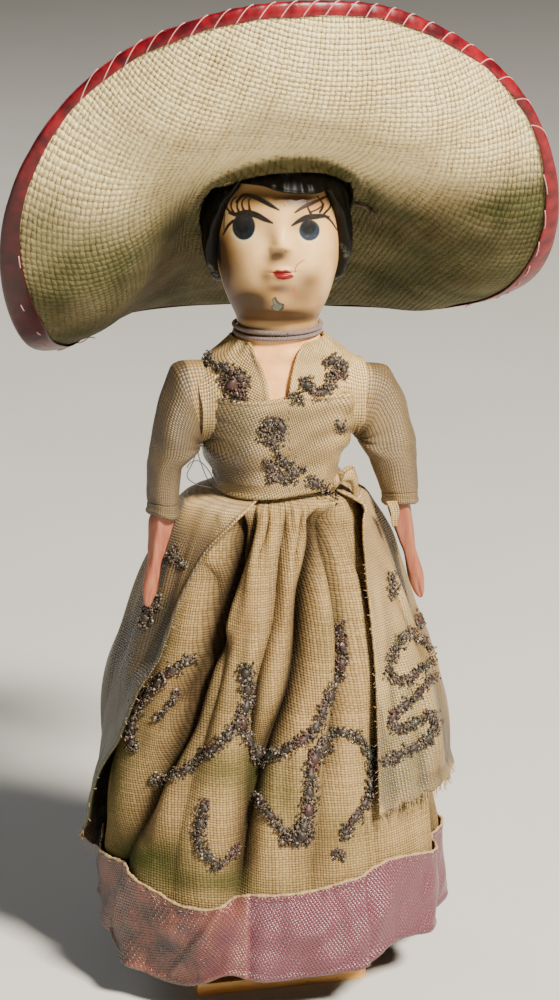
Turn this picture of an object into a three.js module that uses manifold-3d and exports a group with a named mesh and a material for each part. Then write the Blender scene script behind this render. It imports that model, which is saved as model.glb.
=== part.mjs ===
// Costume doll: a standing souvenir doll in a wide-brimmed hat, on a thin wooden board.
// Millimetres, +Z up. The doll faces -Y, +X is the doll's own left, and the origin is
// under the doll's axis on the underside of the board. Angles round the doll start at
// the front (-Y) and grow towards +X.
import * as THREE from 'three';
import { mergeVertices } from 'three/addons/utils/BufferGeometryUtils.js';
import Module from 'manifold-3d';

const wasm = await Module();
wasm.setup();

// Driving sizes in millimetres. Angles are in degrees.
const clearance = 0.3;

const boardWidth = 34.6;
const boardDepth = 34;
const boardThickness = 2.4;
const boardFrontY = -14.8;
const boardShiftX = -2.1;
const boardChip = 1.8;

const nailRadius = 0.6;
const nailHeadRadius = 1.4;
const nailHeadThickness = 0.6;
const legNailLength = 11;

const hipHeight = 70;
const hipToWaist = 29;
const waistToShoulder = 16;
const shoulderToNeck = 14.4;

const legSpread = 5.6;
const legRadius = 2.4;
const legSocketDepth = 8;
const footLength = 12;
const footWidth = 5.2;
const footHeight = 4.2;

const hipHalfWidth = 10.4;
const hipHalfDepth = 7.6;
const waistHalfWidth = 8.8;
const waistHalfDepth = 7.2;
const chestHalfWidth = 12.1;
const chestHalfDepth = 8.2;
const shoulderHalfWidth = 13.8;
const neckRadius = 7.4;
const trunkSquareness = 2.5;

const neckDowelRadius = 2;
const neckDowelLength = 18;

const headHalfWidth = 11.6;
const headFrontDepth = 12.2;
const headBackDepth = 11.9;
const headHeight = 35.3;
const headTurn = -10;
const noseLength = 2.1;
const hairThickness = 1.5;

const crownHeight = 0.708 * headHeight;
const crownWall = 0.9;
const crownTopRadius = 11;
const hatTilt = 43.75;
const hatBackShift = 1.4;
const hatAboveHeadBase = 0.657 * headHeight;
const hatRoom = 2.5;
const brimWidth = 39.5;
const brimThickness = 1.1;
const bindingWidth = 5;
const bindingFrontWidth = 1.8;
const bindingThickness = 0.5;
const tieLength = 5;
const tieRadius = 0.4;

const necklaceCord = 0.9;
const shoulderPivotOut = 3.1;
const armSide = 4.4;
const armTwist = 22;
const armForward = 6;
const rightHandX = 26.8;
const rightArmDrop = 37;
const leftHandX = 27.2;
const leftArmDrop = 39.2;
const wristSide = 2.7;
const palmWidth = 4;
const palmThickness = 2.5;
const sleeveShare = 0.5;
const sleeveWall = 0.8;
const armholeRadius = 8;
const sleeveHeadRadius = 7;
const sleeveHeadWidth = 4.9;
const cuffHalfWidth = 4;

const satinThickness = 0.7;
const gauzeThickness = 0.8;
const waistThreadRadius = 0.3;
const wrapFrontRise = 19.2;
const wrapSideRise = 10.5;

const hemClearance = 7.8;
const hemSlope = 2;
const hemRightWidth = 35.6;
const hemLeftWidth = 33;
const hemFrontDepth = 27.5;
const hemBackDepth = 30;
const ribbonWidth = 16.5;
const ribbonThickness = 0.7;
const overskirtFlare = 3.2;

// Number of facets round and along the larger forms.
const roundSteps = 28;
const skirtSteps = 52;
const brimSteps = 48;

// Heights that follow from the sizes.
const waistZ = hipHeight + hipToWaist;
const shoulderZ = waistZ + waistToShoulder;
const neckZ = shoulderZ + shoulderToNeck;
const headBaseZ = neckZ + clearance;
const headTopZ = headBaseZ + headHeight;
const hatCentreZ = headBaseZ + hatAboveHeadBase;
const crownInnerRadius = headHalfWidth + clearance + hairThickness + hatRoom;
const crownOuterRadius = crownInnerRadius + crownWall;
const brimInnerRadius = crownOuterRadius + clearance + brimThickness / 2;

const radians = THREE.MathUtils.degToRad;
const TAU = 2 * Math.PI;

// Curves through rows of values.

// Value of a smooth curve without overshoot through rows [key, value, value, ...].
function follow(rows, key) {
  const last = rows.length - 1;
  if (key <= rows[0][0]) return rows[0].slice(1);
  if (key >= rows[last][0]) return rows[last].slice(1);
  let i = 0;
  while (key > rows[i + 1][0]) i += 1;
  const span = rows[i + 1][0] - rows[i][0];
  const t = (key - rows[i][0]) / span;
  return rows[i].slice(1).map((value, k) => {
    const column = k + 1;
    const slope = (j) => {
      if (j === 0 || j === last) return 0;
      const before = (rows[j][column] - rows[j - 1][column]) / (rows[j][0] - rows[j - 1][0]);
      const after = (rows[j + 1][column] - rows[j][column]) / (rows[j + 1][0] - rows[j][0]);
      return before * after <= 0 ? 0 : (2 * before * after) / (before + after);
    };
    const startSlope = i === 0 ? (rows[1][column] - rows[0][column]) / span : slope(i);
    const endSlope = i + 1 === last ? (rows[last][column] - value) / span : slope(i + 1);
    const t2 = t * t;
    const t3 = t2 * t;
    return (2 * t3 - 3 * t2 + 1) * value + (t3 - 2 * t2 + t) * span * startSlope
      + (3 * t2 - 2 * t3) * rows[i + 1][column] + (t3 - t2) * span * endSlope;
  });
}

// Value at an angle of a closed smooth curve through values at equal angles.
function around(values, phi) {
  const count = values.length;
  const place = (((phi % TAU) + TAU) % TAU) / TAU * count;
  const i = Math.floor(place) % count;
  const t = place - Math.floor(place);
  const at = (j) => values[(j + count) % count];
  const a = at(i - 1);
  const b = at(i);
  const c = at(i + 1);
  const d = at(i + 2);
  return 0.5 * (2 * b + (c - a) * t + (2 * a - 5 * b + 4 * c - d) * t * t
    + (3 * b - a - 3 * c + d) * t * t * t);
}

function smoothStep(value) {
  const t = Math.min(Math.max(value, 0), 1);
  return t * t * (3 - 2 * t);
}

// Signed difference of two angles, from -pi to pi.
function angleBetween(a, b) {
  return ((((a - b) % TAU) + TAU + Math.PI) % TAU) - Math.PI;
}

// Radius at an angle of an oval with its own depth in front and behind.
function ovalRadius(phi, halfWidth, frontDepth, backDepth = frontDepth, squareness = 2) {
  const across = Math.abs(Math.sin(phi)) / halfWidth;
  const depth = Math.abs(Math.cos(phi)) / (Math.cos(phi) > 0 ? frontDepth : backDepth);
  return (across ** squareness + depth ** squareness) ** (-1 / squareness);
}

function polar(radius, phi, z) {
  return new THREE.Vector3(radius * Math.sin(phi), -radius * Math.cos(phi), z);
}

function range(count) {
  return Array.from({ length: count }, (_, index) => index);
}

// Closed bodies from rows of points.

// A geometry from triangles of points, with its faces turned outwards.
function bodyFromTriangles(triangles) {
  const solid = triangles.filter(([a, b, c]) => {
    const area = new THREE.Vector3().subVectors(b, a).cross(new THREE.Vector3().subVectors(c, a));
    return area.length() > 1e-7;
  });
  let volume = 0;
  for (const [a, b, c] of solid) volume += a.dot(new THREE.Vector3().crossVectors(b, c));
  const ordered = volume < 0 ? solid.map(([a, b, c]) => [a, c, b]) : solid;
  const geometry = new THREE.BufferGeometry();
  geometry.setFromPoints(ordered.flat());
  return mergeVertices(geometry, 1e-5);
}

function quadTriangles(a, b, c, d) {
  return [[a, b, c], [a, c, d]];
}

// The faces between neighbouring rows of a grid of points.
function gridTriangles(rows, closed) {
  const triangles = [];
  for (let i = 0; i + 1 < rows.length; i += 1) {
    const count = rows[i].length;
    for (let j = 0; j < (closed ? count : count - 1); j += 1) {
      const next = (j + 1) % count;
      triangles.push(...quadTriangles(rows[i][j], rows[i][next], rows[i + 1][next], rows[i + 1][j]));
    }
  }
  return triangles;
}

// A solid lofted through closed rings, with flat ends.
function loft(rings) {
  const triangles = gridTriangles(rings, true);
  for (const [ring, turned] of [[rings[0], true], [rings[rings.length - 1], false]]) {
    const middle = ring.reduce((sum, point) => sum.add(point), new THREE.Vector3());
    middle.divideScalar(ring.length);
    ring.forEach((point, j) => {
      const next = ring[(j + 1) % ring.length];
      triangles.push(turned ? [next, point, middle] : [point, next, middle]);
    });
  }
  return bodyFromTriangles(triangles);
}

// A solid ring lofted through rings that come back to the first one.
function closedLoft(rings) {
  return bodyFromTriangles(gridTriangles([...rings, rings[0]], true));
}

// A thin shell between two grids of points of the same size.
function shell(outer, inner, closed) {
  const flip = ([a, b, c]) => [a, c, b];
  const edges = (first, second) => gridTriangles([first, second], closed);
  const last = outer.length - 1;
  const triangles = [
    ...gridTriangles(outer, closed),
    ...gridTriangles(inner, closed).map(flip),
    ...edges(inner[0], outer[0]),
    ...edges(outer[last], inner[last]),
  ];
  if (!closed) {
    const column = (grid, j) => grid.map((row) => row[j]);
    const width = outer[0].length - 1;
    triangles.push(...gridTriangles([column(outer, 0), column(inner, 0)], false));
    triangles.push(...gridTriangles([column(inner, width), column(outer, width)], false));
  }
  return bodyFromTriangles(triangles);
}

// A surface moved along its normal. The surface is a function of two parameters.
function offsetPoint(surface, u, v, distance) {
  const step = 1e-3;
  const alongU = surface(u + step, v).sub(surface(u - step, v));
  const alongV = surface(u, v + step).sub(surface(u, v - step));
  return surface(u, v).addScaledVector(alongU.cross(alongV).normalize(), distance);
}

// A closed loop of round cord through points given by a function of the angle.
function cordLoop(pointAt, radius, steps, sides) {
  const rings = range(steps).map((i) => {
    const phi = (i / steps) * TAU;
    const centre = pointAt(phi);
    const outward = new THREE.Vector3(centre.x, centre.y, 0).normalize();
    return range(sides).map((j) => {
      const turn = (j / sides) * TAU;
      return centre.clone().addScaledVector(outward, radius * Math.cos(turn))
        .add(new THREE.Vector3(0, 0, radius * Math.sin(turn)));
    });
  });
  return closedLoft(rings);
}

// Joining and cutting.

function toSolid(geometry) {
  const plain = geometry.clone();
  plain.deleteAttribute('normal');
  plain.deleteAttribute('uv');
  const merged = mergeVertices(plain, 1e-5);
  return new wasm.Manifold(new wasm.Mesh({
    numProp: 3,
    vertProperties: new Float32Array(merged.attributes.position.array),
    triVerts: new Uint32Array(merged.index.array),
  }));
}

function fromSolid(solid) {
  const mesh = solid.getMesh();
  const geometry = new THREE.BufferGeometry();
  geometry.setAttribute('position', new THREE.BufferAttribute(mesh.vertProperties, 3));
  geometry.setIndex(new THREE.BufferAttribute(mesh.triVerts, 1));
  return geometry;
}

function cut(geometry, ...tools) {
  let solid = toSolid(geometry);
  for (const tool of tools) solid = solid.subtract(toSolid(tool));
  return fromSolid(solid);
}

function join(geometry, ...others) {
  let solid = toSolid(geometry);
  for (const other of others) solid = solid.add(toSolid(other));
  return fromSolid(solid);
}

function boxBetween(low, high) {
  const size = new THREE.Vector3().subVectors(high, low);
  const middle = new THREE.Vector3().addVectors(low, high).multiplyScalar(0.5);
  return new THREE.BoxGeometry(size.x, size.y, size.z).translate(middle.x, middle.y, middle.z);
}

// An upright round bar between two heights.
function roundBar(radius, bottom, top, x = 0, y = 0, sides = 16) {
  return new THREE.CylinderGeometry(radius, radius, top - bottom, sides)
    .rotateX(Math.PI / 2).translate(x, y, (top + bottom) / 2);
}

// A nail along +Z with the outer face of its head at zero.
function nail(length) {
  const outline = [
    [0, 0], [nailHeadRadius, 0], [nailHeadRadius, nailHeadThickness],
    [nailRadius, nailHeadThickness], [nailRadius, length - 2 * nailRadius], [0, length],
  ].map(([x, y]) => new THREE.Vector2(x, y));
  return new THREE.LatheGeometry(outline, 12).rotateX(Math.PI / 2);
}

// Materials.

function finish(color, roughness, metalness = 0) {
  return new THREE.MeshStandardMaterial({ color, roughness, metalness });
}

const wood = finish('#a5662a', 0.65);
const paintedWood = finish('#e8c392', 0.4);
const flesh = finish('#c98a72', 0.45);
const face = finish('#e3c59a', 0.35);
const hairBlack = finish('#15120f', 0.2);
const steel = finish('#8c8c8c', 0.4, 1);
const straw = finish('#d8cdae', 0.85);
const redTape = finish('#a3122a', 0.3);
const brownThread = finish('#3a2413', 0.8);
const blackThread = finish('#1c1a1c', 0.8);
const paleCord = finish('#cdbdbb', 0.7);
const satin = finish('#d7c49a', 0.45);
const sleeveCloth = finish('#b49a6b', 0.7);
const gauze = finish('#bfa476', 0.9);
const pinkSatin = finish('#b88a90', 0.35);

const doll = new THREE.Group();

function add(name, geometry, material, parent = doll) {
  const mesh = new THREE.Mesh(geometry, material);
  mesh.name = name;
  parent.add(mesh);
  return mesh;
}

// Board, with the chipped corner and the countersunk holes of the two leg nails.

const legPlaces = [['right', -legSpread], ['left', legSpread]];
const nailSink = 2 * clearance + nailHeadThickness;

function makeBoard() {
  const left = boardShiftX - boardWidth / 2;
  const right = boardShiftX + boardWidth / 2;
  const back = boardFrontY + boardDepth;
  const outline = new THREE.Shape([
    new THREE.Vector2(left, boardFrontY),
    new THREE.Vector2(right - boardChip, boardFrontY),
    new THREE.Vector2(right - boardChip / 3, boardFrontY + boardChip / 2),
    new THREE.Vector2(right, boardFrontY + 1.5 * boardChip),
    new THREE.Vector2(right, back),
    new THREE.Vector2(left, back),
  ]);
  const plate = new THREE.ExtrudeGeometry(outline, { depth: boardThickness, bevelEnabled: false });
  const holes = legPlaces.flatMap(([, x]) => [
    roundBar(nailRadius + clearance, -1, boardThickness + 1, x),
    roundBar(nailHeadRadius + clearance, -1, nailSink, x),
  ]);
  return cut(plate, ...holes);
}

add('base_board', makeBoard(), wood);

// Legs: round shanks with carved feet, pegged into the trunk and nailed from below.

function makeLeg(x) {
  const bottom = boardThickness + clearance;
  const top = hipHeight + legSocketDepth - clearance;
  const ankle = bottom + footHeight;
  const shank = roundBar(legRadius, bottom + footHeight / 2, top, x);
  const footRing = (z, grow) => range(16).map((j) => {
    const phi = (j / 16) * TAU;
    const radius = ovalRadius(phi, grow * footWidth / 2, grow * (footLength - legRadius), legRadius + 0.4);
    return polar(radius, phi, z).add(new THREE.Vector3(x, 0, 0));
  });
  const foot = loft([
    footRing(bottom, 0.94), footRing(bottom + 0.3 * footHeight, 1),
    footRing(bottom + 0.7 * footHeight, 0.86), footRing(ankle, 0.55),
  ]);
  const nailHole = roundBar(nailRadius + clearance, bottom - 1, clearance + legNailLength + 2, x);
  return cut(join(shank, foot), nailHole);
}

for (const [side, x] of legPlaces) {
  add(`${side}_leg`, makeLeg(x), flesh);
  const pin = add(`${side}_leg_nail`, nail(legNailLength), steel);
  pin.position.set(x, 0, clearance);
}

// Trunk: hips, waist, chest and shoulders, drawn in to the neck.

// The shoulder nails stop short of the middle of the trunk.
const shoulderNailLength = 15;
const armInnerX = shoulderHalfWidth + 3 * clearance + satinThickness;
const armOuterX = armInnerX + armSide;
const shoulderNailTip = armOuterX + clearance + nailHeadThickness - shoulderNailLength - clearance;

const trunkRows = [
  [hipHeight, hipHalfWidth, hipHalfDepth],
  [hipHeight + 0.45 * hipToWaist, hipHalfWidth, hipHalfDepth],
  [waistZ - 0.14 * hipToWaist, waistHalfWidth + 0.2, waistHalfDepth + 0.1],
  [waistZ, waistHalfWidth, waistHalfDepth],
  [waistZ + 0.16 * waistToShoulder, waistHalfWidth, waistHalfDepth],
  [waistZ + 0.58 * waistToShoulder, chestHalfWidth, chestHalfDepth],
  [shoulderZ - 0.26 * waistToShoulder, chestHalfWidth + 0.6, chestHalfDepth],
  [shoulderZ - 0.1 * waistToShoulder, shoulderHalfWidth, chestHalfDepth],
  [shoulderZ + 0.45 * shoulderToNeck, shoulderHalfWidth, chestHalfDepth - 0.5],
  [shoulderZ + 0.64 * shoulderToNeck, 0.93 * shoulderHalfWidth, chestHalfDepth - 0.8],
  [shoulderZ + 0.78 * shoulderToNeck, neckRadius + 2.8, neckRadius + 0.3],
  [shoulderZ + 0.89 * shoulderToNeck, neckRadius + 0.8, neckRadius],
  [neckZ, neckRadius, neckRadius],
];

function trunkRadius(phi, z) {
  const [halfWidth, halfDepth] = follow(trunkRows, z);
  const neckShare = smoothStep((z - shoulderZ) / (0.9 * shoulderToNeck));
  const squareness = trunkSquareness + (2 - trunkSquareness) * neckShare;
  return ovalRadius(phi, halfWidth, halfDepth, halfDepth, squareness);
}

function trunkSurface(phi, z) {
  return polar(trunkRadius(phi, z), phi, z);
}

function makeTrunk() {
  const hipRows = trunkRows.slice(0, 3).map((row) => row[0]);
  const upperRows = range(15).map((i) => waistZ + (i / 14) * (neckZ - waistZ));
  const heights = [...hipRows, ...upperRows];
  const rings = heights.map((z) => range(roundSteps).map((j) => trunkSurface((j / roundSteps) * TAU, z)));
  const sockets = legPlaces.map(([, x]) => roundBar(
    legRadius + clearance, hipHeight - 1, hipHeight + legSocketDepth, x,
  ));
  const dowelHole = roundBar(
    neckDowelRadius + clearance, neckZ - neckDowelLength / 2 - clearance, neckZ + 1,
  );
  const nailHole = new THREE.CylinderGeometry(
    nailRadius + clearance, nailRadius + clearance, 2 * shoulderHalfWidth + 2, 12,
  ).rotateZ(Math.PI / 2).translate(0, 0, shoulderZ);
  const web = boxBetween(
    new THREE.Vector3(-shoulderNailTip, -2, shoulderZ - 2),
    new THREE.Vector3(shoulderNailTip, 2, shoulderZ + 2),
  );
  return cut(loft(rings), ...sockets, dowelHole, cut(nailHole, web));
}

add('torso', makeTrunk(), paintedWood);

const dowel = roundBar(neckDowelRadius, neckZ - neckDowelLength / 2, neckZ + neckDowelLength / 2);
add('neck_dowel', dowel, wood);

// Arms: square carved sticks with simple pointed hands, each turning on its shoulder nail.

const pivotX = shoulderHalfWidth + shoulderPivotOut + 0.5 * armSide - clearance;

function armDirection([handX, drop]) {
  return new THREE.Vector3(handX - pivotX, -armForward, -drop);
}

// A ring of points square to the arm, at a share of its length.
function armRing(hand, share, halfWidth, halfDepth, twist, points) {
  const direction = armDirection(hand);
  const length = direction.length();
  const along = direction.clone().normalize();
  const across = new THREE.Vector3(1, 0, 0).addScaledVector(along, -along.x).normalize();
  const deep = new THREE.Vector3().crossVectors(along, across);
  const centre = new THREE.Vector3(pivotX, 0, shoulderZ).addScaledVector(along, share * length);
  return points.map(([a, b]) => {
    const x = a * halfWidth;
    const y = b * halfDepth;
    return centre.clone()
      .addScaledVector(across, x * Math.cos(twist) - y * Math.sin(twist))
      .addScaledVector(deep, x * Math.sin(twist) + y * Math.cos(twist));
  });
}

const bevelledSquare = [
  [1, 0.72], [0.72, 1], [-0.72, 1], [-1, 0.72], [-1, -0.72], [-0.72, -1], [0.72, -1], [1, -0.72],
];
const circle = (count) => range(count).map((j) => [
  Math.cos((j / count) * TAU), Math.sin((j / count) * TAU),
]);

// The arm on the +X side. The other arm is its mirror image.
function makeArm(hand) {
  const half = armSide / 2;
  const wrist = wristSide / 2;
  const turn = radians(armTwist);
  const rings = [
    [-0.075, 0.6 * half, 0.6 * half, 0],
    [-0.045, half, half, 0],
    [0.12, half, half, 0],
    [0.3, half, half, turn],
    [0.55, 0.93 * half, 0.93 * half, turn],
    [0.76, wrist, wrist, turn],
    [0.84, 0.86 * palmWidth / 2, palmThickness / 2, turn],
    [0.9, palmWidth / 2, 0.9 * palmThickness / 2, turn],
    [0.97, 0.7 * palmWidth / 2, 0.6 * palmThickness / 2, turn],
    [1, 0.3 * palmWidth / 2, 0.35 * palmThickness / 2, turn],
  ].map(([share, width, depth, twist]) => armRing(hand, share, width, depth, twist, bevelledSquare));
  const shoulder = new THREE.CylinderGeometry(half, half, armSide, 16)
    .rotateZ(Math.PI / 2).translate(armInnerX + half, 0, shoulderZ);
  const reach = 1.2 * rightArmDrop;
  const trim = boxBetween(
    new THREE.Vector3(0, -reach, shoulderZ - reach),
    new THREE.Vector3(armInnerX, reach, shoulderZ + 0.5 * reach),
  );
  const pinHole = new THREE.CylinderGeometry(nailRadius + clearance, nailRadius + clearance, 30, 12)
    .rotateZ(Math.PI / 2).translate(armInnerX, 0, shoulderZ);
  const headRoom = new THREE.CylinderGeometry(
    nailHeadRadius + clearance, nailHeadRadius + clearance, 20, 16,
  ).rotateZ(Math.PI / 2).translate(armOuterX + 10, 0, shoulderZ);
  return cut(join(loft(rings), shoulder), trim, pinHole, headRoom);
}

// Sleeves: tapered tubes with a rounded head over the shoulder, open at the cuff and armhole.

function sleeveRings(hand, grow, end) {
  const dome = sleeveHeadRadius + grow;
  const length = armDirection(hand).length();
  const rows = [
    [-1, 0.35, 0.12], [-0.93, 0.62, 0.37], [-0.72, 0.84, 0.69], [-0.4, 0.96, 0.92], [0, 1, 1],
  ].map(([height, wide, deep]) => [height * dome / length, wide * (sleeveHeadWidth + grow), deep * dome]);
  const cuff = cuffHalfWidth + grow;
  rows.push([0.16, sleeveHeadWidth + grow, 0.5 * (dome + cuff)]);
  rows.push([0.34, 0.5 * (sleeveHeadWidth + grow + cuff), cuff + 0.5]);
  rows.push([end, cuff, cuff]);
  return rows.map(([share, wide, deep]) => armRing(hand, share, wide, deep, 0, circle(14)));
}

// The round part of the sleeve between the armhole and the middle of the arm.
function sleeveCap(grow) {
  const overlap = 1;
  const length = pivotX - armInnerX + overlap;
  return new THREE.CylinderGeometry(armholeRadius + grow, sleeveHeadRadius + grow, length, 16)
    .rotateZ(Math.PI / 2).translate(pivotX - length / 2, 0, shoulderZ);
}

function makeSleeve(hand) {
  const outer = join(loft(sleeveRings(hand, 0, sleeveShare)), sleeveCap(0));
  const bore = join(loft(sleeveRings(hand, -sleeveWall, sleeveShare + 0.1)), sleeveCap(-sleeveWall));
  const armhole = boxBetween(
    new THREE.Vector3(0, -40, shoulderZ - 40),
    new THREE.Vector3(armInnerX, 40, shoulderZ + 20),
  );
  return cut(outer, bore, armhole);
}

function mirrored(geometry) {
  const flipped = geometry.clone().scale(-1, 1, 1);
  const order = flipped.index.array;
  for (let i = 0; i < order.length; i += 3) [order[i], order[i + 1]] = [order[i + 1], order[i]];
  return flipped;
}

const arms = [['right', [rightHandX, rightArmDrop], -1], ['left', [leftHandX, leftArmDrop], 1]];
for (const [side, hand, sign] of arms) {
  const place = (geometry) => (sign < 0 ? mirrored(geometry) : geometry);
  add(`${side}_arm`, place(makeArm(hand)), flesh);
  add(`${side}_sleeve`, place(makeSleeve(hand)), sleeveCloth);
  const pin = add(`${side}_shoulder_nail`, nail(shoulderNailLength), steel);
  pin.rotation.y = -sign * Math.PI / 2;
  pin.position.set(sign * (armOuterX + clearance + nailHeadThickness), 0, shoulderZ);
}

// Shoulder straps: satin over the trunk's shoulders, crossing to a V at the front.

const strapInner = 1.5 * clearance;
const strapOuter = strapInner + satinThickness;

function strapPoint(sign, across, up, distance) {
  const topZ = neckZ - 2.6;
  const front = shoulderZ - 0.06 * waistToShoulder;
  const z = front + up * (topZ - front);
  const openFront = radians(2 + 46 * smoothStep((z - front) / (topZ - front)));
  const phi = openFront + across * (radians(178.5) - openFront);
  return offsetPoint((u, v) => trunkSurface(sign * u, v), phi, z, sign * distance);
}

function makeStrap(sign) {
  const grid = (distance) => range(7).map((i) => range(15).map(
    (j) => strapPoint(sign, j / 14, i / 6, distance),
  ));
  const band = shell(grid(strapOuter), grid(strapInner), false);
  const pinHole = new THREE.CylinderGeometry(nailRadius + clearance, nailRadius + clearance, 12, 12)
    .rotateZ(Math.PI / 2).translate(sign * shoulderHalfWidth, 0, shoulderZ);
  return cut(band, pinHole);
}

add('right_shoulder_strap', makeStrap(-1), satin);
add('left_shoulder_strap', makeStrap(1), satin);

// Skirts. Each fold is a valley that leaves the waist at one angle and meets the hem at another.

const frontFolds = [
  // [angle at the waist, angle at the hem, depth at the hem, half-angle of the valley]
  [-34, -78, 2.2, 9],
  [-16, -36, 5.4, 10],
  [4, -13, 1.6, 8],
  [16, 8, 1.8, 7],
  [34, 42, 3.8, 12],
];
const backFoldCount = 8;
const backFolds = range(backFoldCount).map((index) => {
  const angle = 72 + index * (216 / (backFoldCount - 1));
  return [angle, angle + 4 * Math.sin(2.4 * index), 2.3 + 0.7 * Math.cos(1.7 * index), 11];
});
const folds = [...frontFolds, ...backFolds].map(([top, bottom, depth, half]) => ({
  top: radians(top), bottom: radians(bottom), depth, half: radians(half),
}));

const skirtTopZ = waistZ + 2.6;
const skirtHeight = waistZ - hemClearance;

// Outline of the gauze bell, as shares of its size at the hem, down from the waist.
const bellRows = [
  // [share of the way down, width, front depth, back depth]
  [0, 0.4, 0.36, 0.36],
  [0.04, 0.47, 0.44, 0.42],
  [0.1, 0.54, 0.54, 0.52],
  [0.2, 0.63, 0.64, 0.62],
  [0.36, 0.77, 0.77, 0.75],
  [0.54, 0.91, 0.88, 0.87],
  [0.7, 0.99, 0.97, 0.95],
  [0.85, 1.01, 1, 0.99],
  [1, 1, 1, 1],
];

function hemZ(phi) {
  return hemClearance - hemSlope * Math.cos(phi + radians(75));
}

// Outer limit of the gauze, without its folds.
function gauzeEnvelope(phi, z) {
  const down = (waistZ - z) / skirtHeight;
  const [width, front, back] = follow(bellRows, down);
  const reach = Math.sin(phi) < 0 ? hemRightWidth : hemLeftWidth;
  const bell = ovalRadius(phi, width * reach, front * hemFrontDepth, back * hemBackDepth);
  const band = trunkRadius(phi, Math.max(z, waistZ)) + clearance + gauzeThickness;
  return band + (bell - band) * smoothStep((waistZ - z) / 2.5);
}

function foldDepth(phi, z) {
  const down = Math.min(Math.max((waistZ - z) / skirtHeight, 0), 1.1);
  let depth = 0;
  for (const fold of folds) {
    const middle = fold.top + (fold.bottom - fold.top) * down ** 0.8;
    const offset = angleBetween(phi, middle) / (fold.half * (1.15 - 0.3 * down));
    depth += fold.depth * Math.exp(-offset * offset) * smoothStep(down * 3.2 + 0.12);
  }
  return depth * smoothStep(down * 12);
}

function gauzeRadius(phi, z) {
  return gauzeEnvelope(phi, z) - foldDepth(phi, z);
}

// Heights of the rows, closer together at the waist and at the ribbon.
const ribbonShare = ribbonWidth / skirtHeight;
const skirtRowShares = [0, ribbonShare / 2, ribbonShare, 0.38, 0.56, 0.74, 0.87, 0.95, 0.985];
const skirtTopRows = [waistZ + 0.2, skirtTopZ];

function skirtRowZ(phi, share) {
  return share > 1 ? share : hemZ(phi) + share * (waistZ - hemZ(phi));
}

function skirtRows(radiusAt, shares) {
  return shares.map((share) => range(skirtSteps).map((j) => {
    const phi = (j / skirtSteps) * TAU;
    const z = skirtRowZ(phi, share);
    return polar(radiusAt(phi, z), phi, z);
  }));
}

function makeGauzeSkirt() {
  const shares = [...skirtRowShares, ...skirtTopRows];
  return shell(
    skirtRows(gauzeRadius, shares),
    skirtRows((phi, z) => gauzeRadius(phi, z) - gauzeThickness, shares),
    true,
  );
}

add('gauze_skirt', makeGauzeSkirt(), gauze);

function makeRibbon() {
  const shares = [0, ribbonShare / 2, ribbonShare];
  const inner = (phi, z) => gauzeRadius(phi, z) + clearance;
  const outer = (phi, z) => inner(phi, z) + ribbonThickness;
  return shell(skirtRows(outer, shares), skirtRows(inner, shares), true);
}

add('hem_ribbon', makeRibbon(), pinkSatin);

// Overskirt: one satin sheet, open at the front, longer at the back than at the left front.

const overskirtLeftEdge = [[0, 62], [0.2, 42], [0.42, 32], [0.7, 25]];
const overskirtRightEdge = [[0, 327], [0.11, 303], [0.22, 296], [0.36, 292], [0.5, 284], [0.62, 273], [1, 258]];
const overskirtHemRows = [
  // [share of the way round from the left front edge, height of the lower edge]
  [0, 39], [0.16, 42], [0.4, 27], [0.62, 15], [0.85, 14.5], [1, 30],
];
const overskirtTopZ = waistZ + 1.2;

const overskirtOut = 2.5 * clearance + gauzeThickness;

// The hands lie in shallow hollows of the overskirt.
const handHollow = 3.2;
const handAngle = 76;
const handTipZ = shoulderZ - leftArmDrop;

// Outline of the overskirt down from the waist.
const overskirtRows = [
  // [height below the waist, half-width, front depth, back depth]
  [0.2, 10.6, 8.6, 9],
  [1.4, 14.2, 11.4, 14],
  [3, 18, 13.2, 17.4],
  [6.5, 20.8, 14.4, 20.4],
  [12, 23.6, 16.6, 23],
  [22, 27.2, 20, 27],
  [37, 31.6, 24.4, 31],
  [54, 34.6, 28, 34],
  [69, 36.2, 30.4, 35.4],
  [90, 36, 30.6, 35.4],
];

function overskirtInner(phi, z) {
  const [width, front, back] = follow(overskirtRows, waistZ - z);
  const bell = ovalRadius(phi, width, front, back);
  const pleats = 0.5 + 0.5 * Math.cos(9 * phi + 0.8);
  const below = (waistZ - z) / skirtHeight;
  const besideHand = (Math.abs(angleBetween(phi, 0)) - radians(handAngle)) / radians(20);
  const hollow = handHollow * Math.exp(-besideHand * besideHand)
    * smoothStep((waistZ - z) / 6) * smoothStep((z - handTipZ + 14) / 10);
  const pleated = bell - hollow - 0.5 * overskirtFlare * pleats * smoothStep(1.4 * below);
  const overRibbon = smoothStep((hemClearance + hemSlope + ribbonWidth + 6 - z) / 6);
  const under = gauzeEnvelope(phi, z) + 2.5 * clearance + (clearance + ribbonThickness) * overRibbon;
  const band = trunkRadius(phi, Math.max(z, waistZ)) + overskirtOut;
  return z >= waistZ - 0.2 ? band : Math.max(pleated, under);
}

function makeOverskirt() {
  const columns = 38;
  const heights = [0, 0.014, 0.03, 0.06, 0.12, 0.24, 0.42, 0.6, 0.8, 1];
  const grid = (extra) => heights.map((share) => range(columns + 1).map((j) => {
    const across = j / columns;
    const [low] = follow(overskirtHemRows, across);
    const z = overskirtTopZ + share * (low - overskirtTopZ);
    const down = Math.max((waistZ - z) / skirtHeight, 0);
    const [start] = follow(overskirtLeftEdge, down);
    const [end] = follow(overskirtRightEdge, down);
    const phi = radians(start + across * (end - start));
    return polar(overskirtInner(phi, z) + extra, phi, z);
  }));
  return shell(grid(satinThickness), grid(0), false);
}

add('overskirt', makeOverskirt(), satin);

// Waist thread round the gathered gauze, just above the overskirt.

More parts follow.
